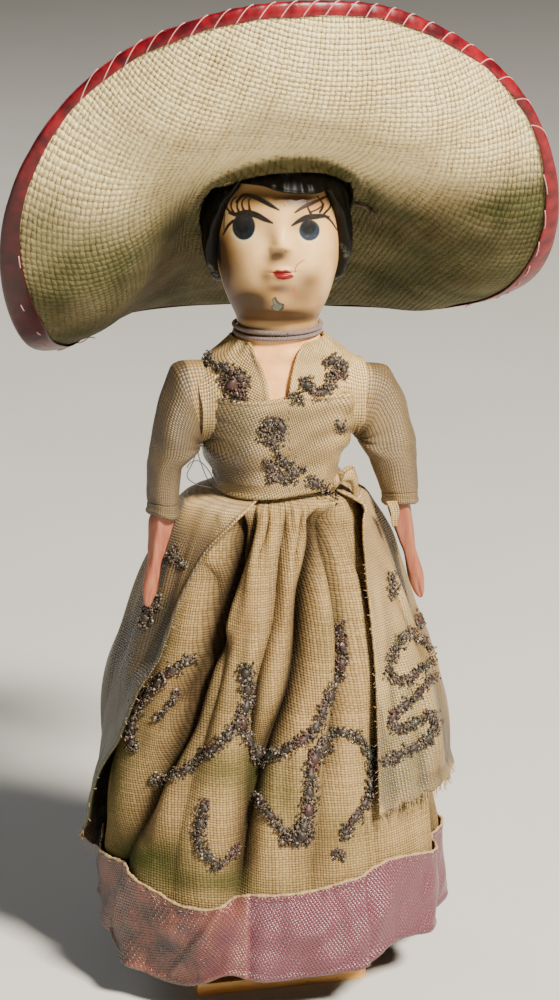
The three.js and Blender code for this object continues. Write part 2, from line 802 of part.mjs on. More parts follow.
const threadZ = overskirtTopZ + clearance + waistThreadRadius + 0.1;
const threadOut = 2 * clearance + gauzeThickness + waistThreadRadius;
add('waist_thread', cordLoop(
  (phi) => polar(trunkRadius(phi, threadZ) + threadOut, phi, threadZ),
  waistThreadRadius, 32, 5,
), blackThread);

// Bodice wrap: a satin band over the straps and over the top of the skirts.

const wrapBottomZ = waistZ + clearance;
const wrapWaistOut = overskirtOut + satinThickness + clearance;
const wrapChestOut = strapOuter + 1.8 * clearance;

// The top edge is level in front and behind, and dips below the armholes.
function wrapTopZ(phi) {
  const besideArm = smoothStep((0.985 - Math.abs(Math.sin(phi))) / 0.1);
  return waistZ + wrapSideRise + (wrapFrontRise - wrapSideRise) * besideArm;
}

function wrapPoint(phi, share, extra) {
  const z = wrapBottomZ + share * (wrapTopZ(phi) - wrapBottomZ);
  const rise = smoothStep((z - waistZ - 2.6) / 4);
  const out = wrapWaistOut + (wrapChestOut - wrapWaistOut) * rise + extra;
  return offsetPoint(trunkSurface, phi, z, out);
}

function makeWrap() {
  const steps = 32;
  const grid = (extra) => range(6).map((i) => range(steps).map(
    (j) => wrapPoint((j / steps) * TAU, i / 5, extra),
  ));
  return shell(grid(satinThickness), grid(0), true);
}

add('bodice_wrap', makeWrap(), satin);

// Necklace: two strands of cord that lie one above the other round the neck.

const strandRadius = necklaceCord / 2;
for (const [name, z] of [['necklace_lower', neckZ - 0.9], ['necklace_upper', neckZ + 0.9 * necklaceCord]]) {
  const out = neckRadius + 2.2 * clearance + strandRadius + (name === 'necklace_lower' ? 0.25 : 0);
  add(name, cordLoop((phi) => polar(out, phi, z), strandRadius, 26, 6), paleCord);
}

// Head: an egg-shaped ball that runs into the neck, with a small nose, lips and chin.

const headGroup = new THREE.Group();
headGroup.rotation.z = radians(headTurn);
doll.add(headGroup);

// Outline of the head up from its base, as shares of its height and of its half-sizes.
const headRows = [
  // [share of the height, half-width, front depth, back depth]
  [0, 0.65, 0.6, 0.62],
  [0.06, 0.67, 0.63, 0.63],
  [0.12, 0.74, 0.8, 0.65],
  [0.18, 0.82, 0.92, 0.7],
  [0.26, 0.9, 0.97, 0.77],
  [0.38, 0.98, 0.99, 0.86],
  [0.52, 1, 1, 0.97],
  [0.66, 0.98, 0.99, 1],
  [0.78, 0.87, 0.88, 0.9],
  [0.88, 0.68, 0.69, 0.7],
  [0.95, 0.46, 0.46, 0.46],
  [0.985, 0.25, 0.25, 0.25],
  [1, 0, 0, 0],
];

function headOval(phi, z) {
  const [width, front, back] = follow(headRows, (z - headBaseZ) / headHeight);
  if (width === 0) return 0;
  return ovalRadius(phi, width * headHalfWidth, front * headFrontDepth, back * headBackDepth, 2.15);
}

function headRadius(phi, z) {
  const side = angleBetween(phi, 0) * headFrontDepth;
  const up = z - headBaseZ;
  const mound = (height, x, at, wide, tall) => height
    * Math.exp(-(((side - x) / wide) ** 2) - (((up - at) / tall) ** 2));
  const nose = mound(noseLength, 0, 18.2, 1.5, 1.6) + mound(0.45 * noseLength, 0, 20.5, 1.3, 2);
  const lips = mound(0.5, 0, 13.1, 3, 1.1);
  const chin = mound(0.7, 0, 8, 4, 2.4);
  const sockets = mound(-0.5, 6, 21.6, 3, 2) + mound(-0.5, -6, 21.6, 3, 2);
  return headOval(phi, z) + nose + lips + chin + sockets;
}

// Rings of the head: closer together over the face, and with more points in front.
const headShares = [
  0, 0.06, 0.12, 0.18, 0.25, 0.32, 0.37, 0.42, 0.47, 0.52, 0.57, 0.62, 0.68, 0.78, 0.88, 0.95, 0.985,
];
const headAngles = [
  ...range(20).map((j) => -Math.PI / 2 + (j / 20) * Math.PI),
  ...range(12).map((j) => Math.PI / 2 + (j / 12) * Math.PI),
];

function makeHead() {
  const hole = roundBar(
    neckDowelRadius + clearance, headBaseZ - 1, neckZ + neckDowelLength / 2 + clearance,
  );
  return cut(loft(headRings(0)), hole);
}

// Hair: a raised cap with a fringe in front, lumps over the ears and a nape behind.

const hairEdge = [
  // height above the head's base at eight equal angles from the front
  29.4, 29.6, 13.4, 9.5, 6.5, 9.5, 13, 29.6,
];

// The head's own shape, grown all round by a distance.
function headRings(distance) {
  const rings = headShares.map((share) => {
    const z = headBaseZ + share * headHeight + distance * share;
    return headAngles.map((phi) => polar(headRadius(phi, z - distance * share) + distance, phi, z));
  });
  rings.push(headAngles.map(() => new THREE.Vector3(0, 0, headTopZ + distance)));
  return rings;
}

function hairPoint(phi, share) {
  const edge = headBaseZ + around(hairEdge, phi);
  const top = headTopZ + clearance + hairThickness;
  const z = edge + share * (top - edge);
  if (share === 1) return polar(0, phi, top);
  const lump = 0.5 * Math.exp(-(((z - headBaseZ - 17) / 5) ** 2)) * Math.abs(Math.sin(phi)) ** 5;
  const inside = headBaseZ + ((z - headBaseZ) / (top - headBaseZ)) * headHeight;
  return polar(headOval(phi, inside) + clearance + hairThickness * (1 + lump), phi, z);
}

function makeHair() {
  const steps = 28;
  const shares = [0, 0.1, 0.26, 0.44, 0.62, 0.78, 0.9, 0.97, 1];
  const rings = shares.map((share) => range(steps).map((j) => hairPoint((j / steps) * TAU, share)));
  return cut(loft(rings), loft(headRings(clearance)));
}

add('head', makeHead(), face, headGroup);
add('hair', makeHair(), hairBlack, headGroup);

// Hat: a round crown tilted back over the head, and a wide brim that is turned up in
// front and droops at the sides and the back.

function makeCrown() {
  const height = crownHeight;
  const bottom = -(0.5 * brimThickness + 2 * clearance);
  const outline = [
    [crownOuterRadius, bottom], [crownOuterRadius, 0.35 * height],
    [0.5 * (crownOuterRadius + crownTopRadius), 0.7 * height], [crownTopRadius, 0.88 * height],
    [0.6 * crownTopRadius, 0.98 * height], [0, height], [0, height - crownWall],
    [0.6 * crownTopRadius - 0.3 * crownWall, 0.98 * height - crownWall],
    [crownTopRadius - crownWall, 0.88 * height - 0.6 * crownWall],
    [0.5 * (crownOuterRadius + crownTopRadius) - crownWall, 0.7 * height],
    [crownInnerRadius, 0.35 * height], [crownInnerRadius, bottom],
    [crownOuterRadius, bottom],
  ].map(([x, y]) => new THREE.Vector2(x, y));
  return new THREE.LatheGeometry(outline, 28).rotateX(Math.PI / 2);
}

const crown = add('hat_crown', makeCrown(), straw);
crown.rotation.x = radians(-hatTilt);
crown.position.set(0, hatBackShift, hatCentreZ);

// Twelve spokes of the brim, from the front round by the doll's left. Slopes are in degrees
// from level. The slope changes between the start and the end of the bend.
const slopeAtCrown = [13, 2, -25, -40, -41, -34, -30, -33, -50, -53, -10, 12];
const slopeAtRim = [92, 96, 74, 22, 21, 19, 15, -1, -11, 16, 80, 86];
const bendStart = [-3, -3, -3, 16, 23, 26, 26, 23, 15, 4, -2, -3];
const bendEnd = brimWidth + 1.5;

// Point of the brim's middle surface at an angle and a distance out along the cloth.
function brimSurface(phi, out) {
  const tilt = radians(hatTilt);
  const slopeIn = around(slopeAtCrown, phi);
  const slopeOut = around(slopeAtRim, phi);
  const start = around(bendStart, phi);
  const slopeAt = (s) => {
    const bend = smoothStep((s - start) / (bendEnd - start));
    return radians(slopeIn + (slopeOut - slopeIn) * bend);
  };
  const steps = 28;
  const step = out / steps;
  let flat = 0;
  let rise = 0;
  for (let i = 0; i < steps; i += 1) {
    const slope = slopeAt((i + 0.5) * step);
    flat += Math.cos(slope) * step;
    rise += Math.sin(slope) * step;
  }
  return new THREE.Vector3(
    (brimInnerRadius + flat) * Math.sin(phi),
    hatBackShift - (brimInnerRadius * Math.cos(tilt) + flat) * Math.cos(phi),
    hatCentreZ + brimInnerRadius * Math.cos(phi) * Math.sin(tilt) + rise,
  );
}

function makeBrim() {
  const outs = [0, 0.12, 0.26, 0.4, 0.53, 0.66, 0.78, 0.88, 1];
  const grid = (side) => outs.map((share) => range(brimSteps).map((j) => offsetPoint(
    brimSurface, (j / brimSteps) * TAU, share * brimWidth, side * brimThickness / 2,
  )));
  return shell(grid(1), grid(-1), true);
}

add('hat_brim', makeBrim(), straw);

// Binding: tape folded over the rim. It shows wide at the sides and narrow in front.
function makeBinding() {
  const inside = brimThickness / 2 + 1.5 * clearance;
  const outside = inside + bindingThickness;
  const rings = range(brimSteps).map((j) => {
    const phi = (j / brimSteps) * TAU;
    const front = smoothStep(1.6 * Math.cos(phi) + 0.2);
    const under = bindingWidth + (bindingFrontWidth - bindingWidth) * front;
    const section = [
      [brimWidth - bindingWidth, -inside],
      [brimWidth + clearance, -inside], [brimWidth + clearance, inside],
      [brimWidth - under, inside], [brimWidth - under, outside],
      [brimWidth + clearance + bindingThickness, outside],
      [brimWidth + clearance + bindingThickness, -outside],
      [brimWidth - bindingWidth, -outside],
    ];
    return section.map(([out, distance]) => offsetPoint(brimSurface, phi, out, distance));
  });
  return closedLoft(rings);
}

add('brim_binding', makeBinding(), redTape);

// Tie: a knotted thread on the underside of the brim, at the doll's left of the hair.
function makeTie() {
  const at = (out, distance, phi) => offsetPoint(brimSurface, radians(phi), out, distance);
  const under = brimThickness / 2 + 2 * clearance;
  const path = new THREE.CatmullRomCurve3([
    at(0.12 * tieLength, under, 90), at(0.32 * tieLength, under + tieRadius, 93),
    at(0.52 * tieLength, under, 94), at(0.76 * tieLength, under, 91), at(tieLength, under, 87),
  ]);
  const section = new THREE.Shape(circle(6).map(([x, y]) => (
    new THREE.Vector2(tieRadius * x, tieRadius * y)
  )));
  return new THREE.ExtrudeGeometry(section, { steps: 12, extrudePath: path });
}

add('hat_tie', makeTie(), brownThread);

export default doll;
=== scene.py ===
# Costume doll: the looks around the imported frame.
# Metres, +Z up. The doll faces -Y and +X is its own left. Shapes are worked out in
# millimetres and scaled when a mesh is made. Angles round the doll start at the front
# and grow towards +X. Places marked as pixels are those of the 559 x 1000 photograph.
import math

import bpy
import numpy as np
from mathutils import Matrix, Vector
from mathutils.bvhtree import BVHTree


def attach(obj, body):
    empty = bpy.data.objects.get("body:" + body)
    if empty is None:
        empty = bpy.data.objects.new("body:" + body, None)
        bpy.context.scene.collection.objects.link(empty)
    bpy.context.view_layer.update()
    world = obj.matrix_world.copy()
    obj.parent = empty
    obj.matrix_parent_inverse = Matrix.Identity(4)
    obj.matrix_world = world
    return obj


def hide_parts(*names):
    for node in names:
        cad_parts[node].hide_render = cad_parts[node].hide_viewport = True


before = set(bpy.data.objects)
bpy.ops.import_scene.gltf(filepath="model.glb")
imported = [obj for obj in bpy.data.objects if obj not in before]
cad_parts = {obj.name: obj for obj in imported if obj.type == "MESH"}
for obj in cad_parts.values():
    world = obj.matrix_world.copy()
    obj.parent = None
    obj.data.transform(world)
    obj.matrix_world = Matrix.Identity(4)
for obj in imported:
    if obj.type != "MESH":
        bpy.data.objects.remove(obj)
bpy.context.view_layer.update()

MM = 0.001
TAU = 2 * math.pi
random = np.random.default_rng(7)

# Sizes of the frame, in millimetres.
WAIST_Z = 99.0
SHOULDER_Z = 115.0
NECK_Z = 129.4
HEAD_BASE_Z = 129.7
HEAD_HEIGHT = 35.3
HEAD_TOP_Z = HEAD_BASE_Z + HEAD_HEIGHT
HEAD_TURN = math.radians(-10)
HEM_CLEARANCE = 7.8
SKIRT_HEIGHT = WAIST_Z - HEM_CLEARANCE
RIBBON_WIDTH = 16.5

# The camera of the photograph.

PHOTO_WIDTH = 559
PHOTO_HEIGHT = 1000
PIXELS_PER_MM = 5.2
FOCAL_PIXELS = 2910.0
CAMERA_PLACE = np.array([-120.35, -521.29, 258.0])
CAMERA_AIM = np.array([0.4, 0.0, 95.6])

camera_forward = CAMERA_AIM - CAMERA_PLACE
camera_forward /= np.linalg.norm(camera_forward)
camera_right = np.cross(camera_forward, [0, 0, 1])
camera_right /= np.linalg.norm(camera_right)
camera_up = np.cross(camera_right, camera_forward)


def to_pixels(points):
    """Places in the photograph of points in millimetres."""
    away = np.asarray(points, float) - CAMERA_PLACE
    depth = away @ camera_forward
    x = PHOTO_WIDTH / 2 + FOCAL_PIXELS * (away @ camera_right) / depth
    y = PHOTO_HEIGHT / 2 - FOCAL_PIXELS * (away @ camera_up) / depth
    return stack(x, y)


def pixel_ray(x, y):
    ray = camera_forward + camera_right * (x - PHOTO_WIDTH / 2) / FOCAL_PIXELS
    ray = ray - camera_up * (y - PHOTO_HEIGHT / 2) / FOCAL_PIXELS
    return ray / np.linalg.norm(ray)


def pixel_on_plane(x, y, depth):
    """Place at a pixel on the upright plane at that y, in millimetres."""
    ray = pixel_ray(x, y)
    return CAMERA_PLACE + ray * (depth - CAMERA_PLACE[1]) / ray[1]


def add_camera():
    data = bpy.data.cameras.new("camera")
    data.sensor_width = 36
    data.lens = FOCAL_PIXELS / PHOTO_HEIGHT * data.sensor_width
    data.clip_start = 0.01
    data.clip_end = 10
    camera = bpy.data.objects.new("camera", data)
    axes = np.stack([camera_right, camera_up, -camera_forward], axis=1)
    matrix = np.eye(4)
    matrix[:3, :3] = axes
    matrix[:3, 3] = CAMERA_PLACE * MM
    camera.matrix_world = Matrix(matrix.tolist())
    bpy.context.scene.collection.objects.link(camera)
    bpy.context.scene.camera = camera


add_camera()

# Curves and small helpers.


def ease(value):
    """A smooth way from 0 to 1. It stays at 0 below and at 1 above."""
    t = np.clip(value, 0, 1)
    return t * t * (3 - 2 * t)


def mix(a, b, share):
    """The place at a share of the way from a to b."""
    return a + (b - a) * share


def hump(value, middle, half):
    """A smooth hump of height 1 round a middle."""
    return np.exp(-((value - middle) / half) ** 2)


def stack(*parts):
    """The parts, made alike in shape, as the last axis of one array."""
    return np.stack(np.broadcast_arrays(*parts), axis=-1)


def unit(vectors, least=0.0):
    """Vectors brought to a length of 1. least is added to each length, so that none is 0."""
    return vectors / (np.linalg.norm(vectors, axis=-1)[..., None] + least)


def circle(count):
    """Equal angles once round, from the front."""
    return np.linspace(0, TAU, count, endpoint=False)


def follow(rows, key):
    """A smooth curve without overshoot through rows [key, value, ...], at an array of keys."""
    table = np.asarray(rows, float)
    keys = table[:, 0]
    values = table[:, 1:]
    step = np.diff(keys)
    rise = np.diff(values, axis=0) / step[:, None]
    slope = np.zeros_like(values)
    product = rise[:-1] * rise[1:]
    total = rise[:-1] + rise[1:]
    slope[1:-1] = np.where(product > 0, 2 * product / np.where(total == 0, 1, total), 0)
    slope[0] = rise[0]
    slope[-1] = rise[-1]
    place = np.clip(np.asarray(key, float), keys[0], keys[-1])
    i = np.clip(np.searchsorted(keys, place, side="right") - 1, 0, len(keys) - 2)
    span = step[i][..., None]
    t = ((place - keys[i]) / step[i])[..., None]
    t2 = t * t
    t3 = t2 * t
    result = (2 * t3 - 3 * t2 + 1) * values[i] + (t3 - 2 * t2 + t) * span * slope[i]
    result = result + (3 * t2 - 2 * t3) * values[i + 1] + (t3 - t2) * span * slope[i + 1]
    return np.moveaxis(result, -1, 0)


def between(a, b, c, d, t):
    """A smooth curve's place at the share t of the way from b to c. a and d are their neighbours."""
    return 0.5 * (2 * b + (c - a) * t + (2 * a - 5 * b + 4 * c - d) * t * t
                  + (3 * b - a - 3 * c + d) * t * t * t)


def around(values, phi):
    """A closed smooth curve through values at equal angles."""
    table = np.asarray(values, float)
    count = len(table)
    place = np.mod(phi, TAU) / TAU * count
    i = np.floor(place).astype(int)
    t = place - i
    return between(*(table[(i + k) % count] for k in (-1, 0, 1, 2)), t)


def angle_between(a, b):
    """The turn from b to a, from -pi to pi."""
    return np.mod(a - b + math.pi, TAU) - math.pi


def oval_radius(phi, half_width, front_depth, back_depth, squareness=2.0):
    across = np.abs(np.sin(phi)) / half_width
    depth = np.abs(np.cos(phi)) / np.where(np.cos(phi) > 0, front_depth, back_depth)
    return (across ** squareness + depth ** squareness) ** (-1 / squareness)


def polar(radius, phi, z):
    """Points at a radius, an angle and a height."""
    return stack(radius * np.sin(phi), -radius * np.cos(phi), z)


def ripple(points, size, seed):
    """A smooth field of about -1 to 1 made of a few sine waves, with lumps of that size."""
    waves = np.random.default_rng(seed)
    total = np.zeros(points.shape[:-1])
    for _ in range(7):
        direction = waves.normal(size=3)
        direction /= np.linalg.norm(direction)
        pace = TAU / (size * waves.uniform(0.7, 1.6))
        total += np.sin(points @ direction * pace + waves.uniform(0, TAU))
    return total / 3.2


def grid_faces(rows, columns, closed=False):
    """Four-sided faces between the points of a grid. It can be closed along its rows."""
    i, j = np.meshgrid(np.arange(rows - 1), np.arange(columns if closed else columns - 1), indexing="ij")
    following = (j + 1) % columns
    here = i * columns
    above = here + columns
    return stack(here + j, here + following, above + following, above + j).reshape(-1, 4)


def closed_faces(rows, columns):
    """Faces of a grid that is closed both ways."""
    return grid_faces(rows + 1, columns, closed=True) % (rows * columns)


def tube_faces(rows, columns):
    """Faces of a tube with both ends filled."""
    faces = grid_faces(rows, columns, closed=True).tolist()
    faces.append(list(range(columns))[::-1])
    faces.append([(rows - 1) * columns + k for k in range(columns)])
    return faces


def mirrored(faces, sign):
    """The faces, turned over when sign is -1, for a piece that is mirrored to -X."""
    return [face[::-1] for face in faces] if sign < 0 else faces


def segment_distance(places, line):
    """Distance of places to a polyline, and the share of the way along it."""
    line = np.asarray(line, float)
    best = np.full(places.shape[:-1], 1e9)
    share = np.zeros(places.shape[:-1])
    lengths = np.linalg.norm(np.diff(line, axis=0), axis=1)
    starts = np.concatenate([[0], np.cumsum(lengths)])
    for k in range(len(line) - 1):
        edge = line[k + 1] - line[k]
        t = np.clip(((places - line[k]) @ edge) / max(edge @ edge, 1e-9), 0, 1)
        gap = np.linalg.norm(places - (line[k] + t[..., None] * edge), axis=-1)
        nearer = gap < best
        best = np.where(nearer, gap, best)
        share = np.where(nearer, (starts[k] + t * lengths[k]) / starts[-1], share)
    return best, share


def spots(pixels, table):
    """Sum of soft round spots. Rows are place and half-sizes in pixels, and strength."""
    total = 0
    for x, y, half_x, half_y, amount in table:
        total = total + amount * hump(pixels[..., 0], x, half_x) * hump(pixels[..., 1], y, half_y)
    return total


def beside_line(pixels, line, lead, fade):
    """Pixels to the right of a line that runs down, and 1 beside its run but 0 past its ends."""
    smooth = smooth_line(line, 5)
    x = np.interp(pixels[..., 1], smooth[:, 1], smooth[:, 0])
    start = ease((pixels[..., 1] - smooth[0, 1] + lead) / fade)
    end = ease((smooth[-1, 1] - pixels[..., 1] + 30) / 60)
    return pixels[..., 0] - x, start * end


def height_on_line(surface, phi, line, guess):
    """Heights at which a surface, at angles phi, shows on a pixel line."""
    smooth = smooth_line(line, 4)
    z = np.array(guess, float) * np.ones(phi.shape)
    for _ in range(8):
        here = to_pixels(surface(phi, z))
        above = to_pixels(surface(phi, z + 0.5))
        slope = (above[..., 1] - here[..., 1]) / 0.5
        wanted = np.interp(here[..., 0], smooth[:, 0], smooth[:, 1])
        z = z + np.clip((wanted - here[..., 1]) / slope, -4, 4)
    return z


def smooth_line(points, steps):
    """A smooth line through points, with that many steps between neighbours."""
    table = np.asarray(points, float)
    padded_table = np.vstack([2 * table[0] - table[1], table, 2 * table[-1] - table[-2]])
    result = []
    for k in range(1, len(padded_table) - 2):
        result += [between(*padded_table[k - 1:k + 3], t) for t in np.arange(steps) / steps]
    result.append(table[-1])
    return np.array(result)


# Making pieces.

# Kind and field of a mesh attribute that holds that many numbers for each point.
LAYERS = {1: ("FLOAT", "value"), 3: ("FLOAT_VECTOR", "vector"), 4: ("FLOAT_COLOR", "color")}


def make_piece(name, points, faces, material, body, replaced=(), attributes=None):
    """A smooth mesh piece from points in millimetres. It rides on a body.

    An attribute has one number, three or four for each point, or is one number for them all.
    """
    mesh = bpy.data.meshes.new(name)
    points = np.asarray(points, float)
    mesh.from_pydata((points.reshape(-1, 3) * MM).tolist(), [], [list(map(int, face)) for face in faces])
    mesh.validate()
    mesh.shade_smooth()
    for key, values in (attributes or {}).items():
        values = np.asarray(values, np.float32)
        numbers = values.shape[-1] if values.ndim == points.ndim else 1
        kind, field = LAYERS[numbers]
        if numbers == 1:
            values = np.broadcast_to(values, points.shape[:-1])
        mesh.attributes.new(key, kind, "POINT").data.foreach_set(field, values.ravel())
    piece = bpy.data.objects.new(name, mesh)
    bpy.context.scene.collection.objects.link(piece)
    mesh.materials.append(material)
    bpy.context.view_layer.update()
    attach(piece, body)
    if replaced:
        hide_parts(*replaced)
    return piece


def thicken(piece, thickness, offset=0.0):
    """Thickness in millimetres. An offset of 0 is to both sides, and one of -1 is all inward."""
    modifier = piece.modifiers.new("thickness", "SOLIDIFY")
    modifier.thickness = thickness * MM
    modifier.offset = offset


def tube_points(line, radius, sides, twist=0.0):
    """Rings of a round tube along a line. radius is a number or one number for each point."""
    line = np.asarray(line, float)
    count = len(line)
    radius = np.broadcast_to(radius, count)
    ahead = np.gradient(line, axis=0)
    ahead /= np.linalg.norm(ahead, axis=1)[:, None]
    side = np.cross(ahead[0], [0.3, 0.2, 0.93])
    rings = []
    for k in range(count):
        side = side - ahead[k] * (side @ ahead[k])
        side = side / np.linalg.norm(side)
        other = np.cross(ahead[k], side)
        turn = np.arange(sides) / sides * TAU + twist * k
        rings.append(line[k] + radius[k] * (np.cos(turn)[:, None] * side
                                            + np.sin(turn)[:, None] * other))
    return np.array(rings)


class Batch:
    """Points and faces of many small shapes that make one piece."""

    def __init__(self):
        self.points = []
        self.faces = []
        self.values = []
        self.count = 0

    def add(self, points, faces, value):
        points = np.asarray(points).reshape(-1, 3)
        self.points.append(points)
        self.faces += [[int(k) + self.count for k in face] for face in faces]
        self.values.append(np.full(len(points), value))
        self.count += len(points)

    def add_tube(self, line, radius, sides, value, twist=0.0):
        rings = tube_points(line, radius, sides, twist)
        self.add(rings, tube_faces(len(rings), sides), value)

    def add_ring(self, line, radius, sides, value):
        """A tube along a closed line."""
        rings = tube_points(np.vstack([line, line[:1]]), radius, sides)[:-1]
        self.add(rings, closed_faces(len(line), sides), value)

    def piece(self, name, material, slot, body, replaced=()):
        return make_piece(name, np.vstack(self.points), self.faces, material, body,
                          replaced, {"tone": np.concatenate(self.values)})


# Materials.


class Shader:
    """A node material that is built from short calls."""

    def __init__(self, name):
        self.material = bpy.data.materials.new(name)
        self.material.use_nodes = True
        self.tree = self.material.node_tree
        self.principled = self.tree.nodes["Principled BSDF"]

    def node(self, kind, **inputs):
        made = self.tree.nodes.new(kind)
        for key, value in inputs.items():
            setattr(made, key, value)
        return made

    def feed(self, socket, value):
        if isinstance(value, bpy.types.NodeSocket):
            self.tree.links.new(value, socket)
        elif isinstance(value, str):
            socket.default_value = (*rgb(value), 1)
        else:
            socket.default_value = value

    def math(self, operation, a, b=0.0, c=0.0):
        made = self.node("ShaderNodeMath", operation=operation)
        for socket, value in zip(made.inputs, (a, b, c)):
            self.feed(socket, value)
        return made.outputs[0]

    def times(self, a, b):
        return self.math("MULTIPLY", a, b)

    def plus(self, a, b):
        return self.math("ADD", a, b)

    def minus(self, a, b):
        return self.math("SUBTRACT", a, b)

    def times_plus(self, a, b, c):
        return self.math("MULTIPLY_ADD", a, b, c)

    def attribute(self, name, output="Fac"):
        made = self.node("ShaderNodeAttribute", attribute_name=name)
        return made.outputs[output]

    def place(self):
        """The place in the object's own space, in millimetres."""
        made = self.node("ShaderNodeTexCoord")
        scaled = self.node("ShaderNodeVectorMath", operation="SCALE")
        self.tree.links.new(made.outputs["Object"], scaled.inputs[0])
        scaled.inputs["Scale"].default_value = 1 / MM
        return scaled.outputs[0]

    def noise(self, size, detail=3.0, where=None, seed=0.0):
        """Noise from 0 to 1 with lumps of that many millimetres."""
        made = self.node("ShaderNodeTexNoise", noise_dimensions="4D")
        self.tree.links.new(where or self.place(), made.inputs["Vector"])
        made.inputs["W"].default_value = seed
        made.inputs["Scale"].default_value = 1 / size
        made.inputs["Detail"].default_value = detail
        made.inputs["Roughness"].default_value = 0.55
        return made.outputs["Fac"]

    def ramp(self, value, low, high, start=0.0, end=1.0):
        made = self.node("ShaderNodeMapRange", interpolation_type="SMOOTHSTEP")
        self.feed(made.inputs["Value"], value)
        for key, number in (("From Min", low), ("From Max", high), ("To Min", start), ("To Max", end)):
            made.inputs[key].default_value = number
        return made.outputs["Result"]

    def colour(self, share, first, second):
        # The mix node's colour inputs are its seventh and eighth, and its colour output the third.
        made = self.node("ShaderNodeMix", data_type="RGBA")
        self.feed(made.inputs[0], share)
        self.feed(made.inputs[6], first)
        self.feed(made.inputs[7], second)
        return made.outputs[2]

    def vector(self, x, y, z=0.0):
        made = self.node("ShaderNodeCombineXYZ")
        for socket, value in zip(made.inputs, (x, y, z)):
            self.feed(socket, value)
        return made.outputs[0]

    def parts(self, vector):
        made = self.node("ShaderNodeSeparateXYZ")
        self.tree.links.new(vector, made.inputs[0])
        return made.outputs[0], made.outputs[1], made.outputs[2]

    def weave(self, pitch_across, pitch_along, fill, swing, wander):
        """Plain weave over the cloth's own places. Gives its height, and a value for each yarn."""
        cloth = self.attribute("cloth", "Vector")
        u, v, _ = self.parts(cloth)
        flow = self.noise(3.5 * pitch_across, 2.0, cloth)
        drift = self.times(self.minus(flow, 0.5), 4 * wander)
        a = self.plus(self.math("DIVIDE", u, pitch_across), drift)
        b = self.minus(self.math("DIVIDE", v, pitch_along), drift)
        heights = []
        tones = []
        for own, cross, sign in ((a, b, 1.0), (b, a, -1.0)):
            index = self.math("FLOOR", own)
            middle = self.minus(self.math("FRACT", own), 0.5)
            wild = self.node("ShaderNodeTexWhiteNoise", noise_dimensions="2D")
            self.tree.links.new(self.vector(index, sign * 7.0), wild.inputs["Vector"])
            width = self.times_plus(wild.outputs["Value"], 0.25 * fill, 0.86 * fill)
            share = self.math("DIVIDE", middle, width)
            round_top = self.minus(1.0, self.times(share, share))
            profile = self.math("SQRT", self.math("MAXIMUM", round_top, 0.0))
            inside = self.math("GREATER_THAN", round_top, 0.0)
            parity = self.math("COSINE", self.times(index, math.pi))
            wave = self.math("SINE", self.times(cross, math.pi))
            raised = self.plus(profile, self.times(self.times(parity, wave), sign * swing))
            heights.append(self.times(self.plus(raised, 1.0), inside))
            tones.append(wild.outputs["Value"])
        top = self.math("MAXIMUM", heights[0], heights[1])
        first_wins = self.math("GREATER_THAN", heights[0], heights[1])
        tone = self.plus(self.times(tones[0], first_wins),
                         self.times(tones[1], self.minus(1.0, first_wins)))
        return self.math("DIVIDE", top, 2.0 + swing), tone

    def bump(self, height, distance, strength=1.0, below=None):
        made = self.node("ShaderNodeBump")
        made.inputs["Strength"].default_value = strength
        made.inputs["Distance"].default_value = distance * MM
        self.feed(made.inputs["Height"], height)
        if below is not None:
            self.tree.links.new(below, made.inputs["Normal"])
        return made.outputs["Normal"]

    def finish(self, **values):
        for key, value in values.items():
            self.feed(self.principled.inputs[key.replace("_", " ")], value)
        return self.material


def rgb(text):
    """A linear colour from its six-digit name."""
    parts = [int(text[k:k + 2], 16) / 255 for k in (1, 3, 5)]
    return tuple(p / 12.92 if p <= 0.04045 else ((p + 0.055) / 1.055) ** 2.4 for p in parts)


def hat_material():
    s = Shader("hat_weave")
    height, tone = s.weave(1.12, 0.94, fill=0.5, swing=0.85, wander=0.2)
    lumps = s.noise(0.55, 2, s.attribute("cloth", "Vector"), seed=7)
    yarn = s.colour(s.times_plus(tone, 0.35, s.times(lumps, 0.6)), "#e0c386", "#fff2bd")
    rough = s.plus(height, s.times_plus(lumps, 0.7, -0.35))
    side = s.colour(s.ramp(rough, 0.3, 0.8), "#8a6d3d", yarn)
    gap = s.colour(s.ramp(rough, 0.0, 0.42), "#3c2b13", side)
    old = s.ramp(s.noise(22, 4), 0.42, 0.72)
    darkened = s.colour(s.times(old, 0.3), gap, "#b3955f")
    # Painted shade, mixed with olive stains: an attribute turns the weave dark olive under the brim.
    damp_and_shade = s.attribute("damp_and_shade")
    mottled = s.times(damp_and_shade, s.ramp(s.noise(9, 3, seed=4), 0.25, 0.75, 0.88, 1.0))
    shade = s.colour(s.ramp(s.noise(16, 3, seed=9), 0.2, 0.8), "#2d3808", "#3a2a08")
    olive_and_shade = s.colour(mottled, darkened, shade)
    fibre = s.noise(0.16, 2, s.attribute("cloth", "Vector"))
    total = s.plus(s.times_plus(fibre, 0.16, s.times(lumps, 0.5)), height)
    return s.finish(Base_Color=olive_and_shade, Roughness=0.85, Specular_IOR_Level=0.25,
                    Normal=s.bump(total, 1.05, 1.0))


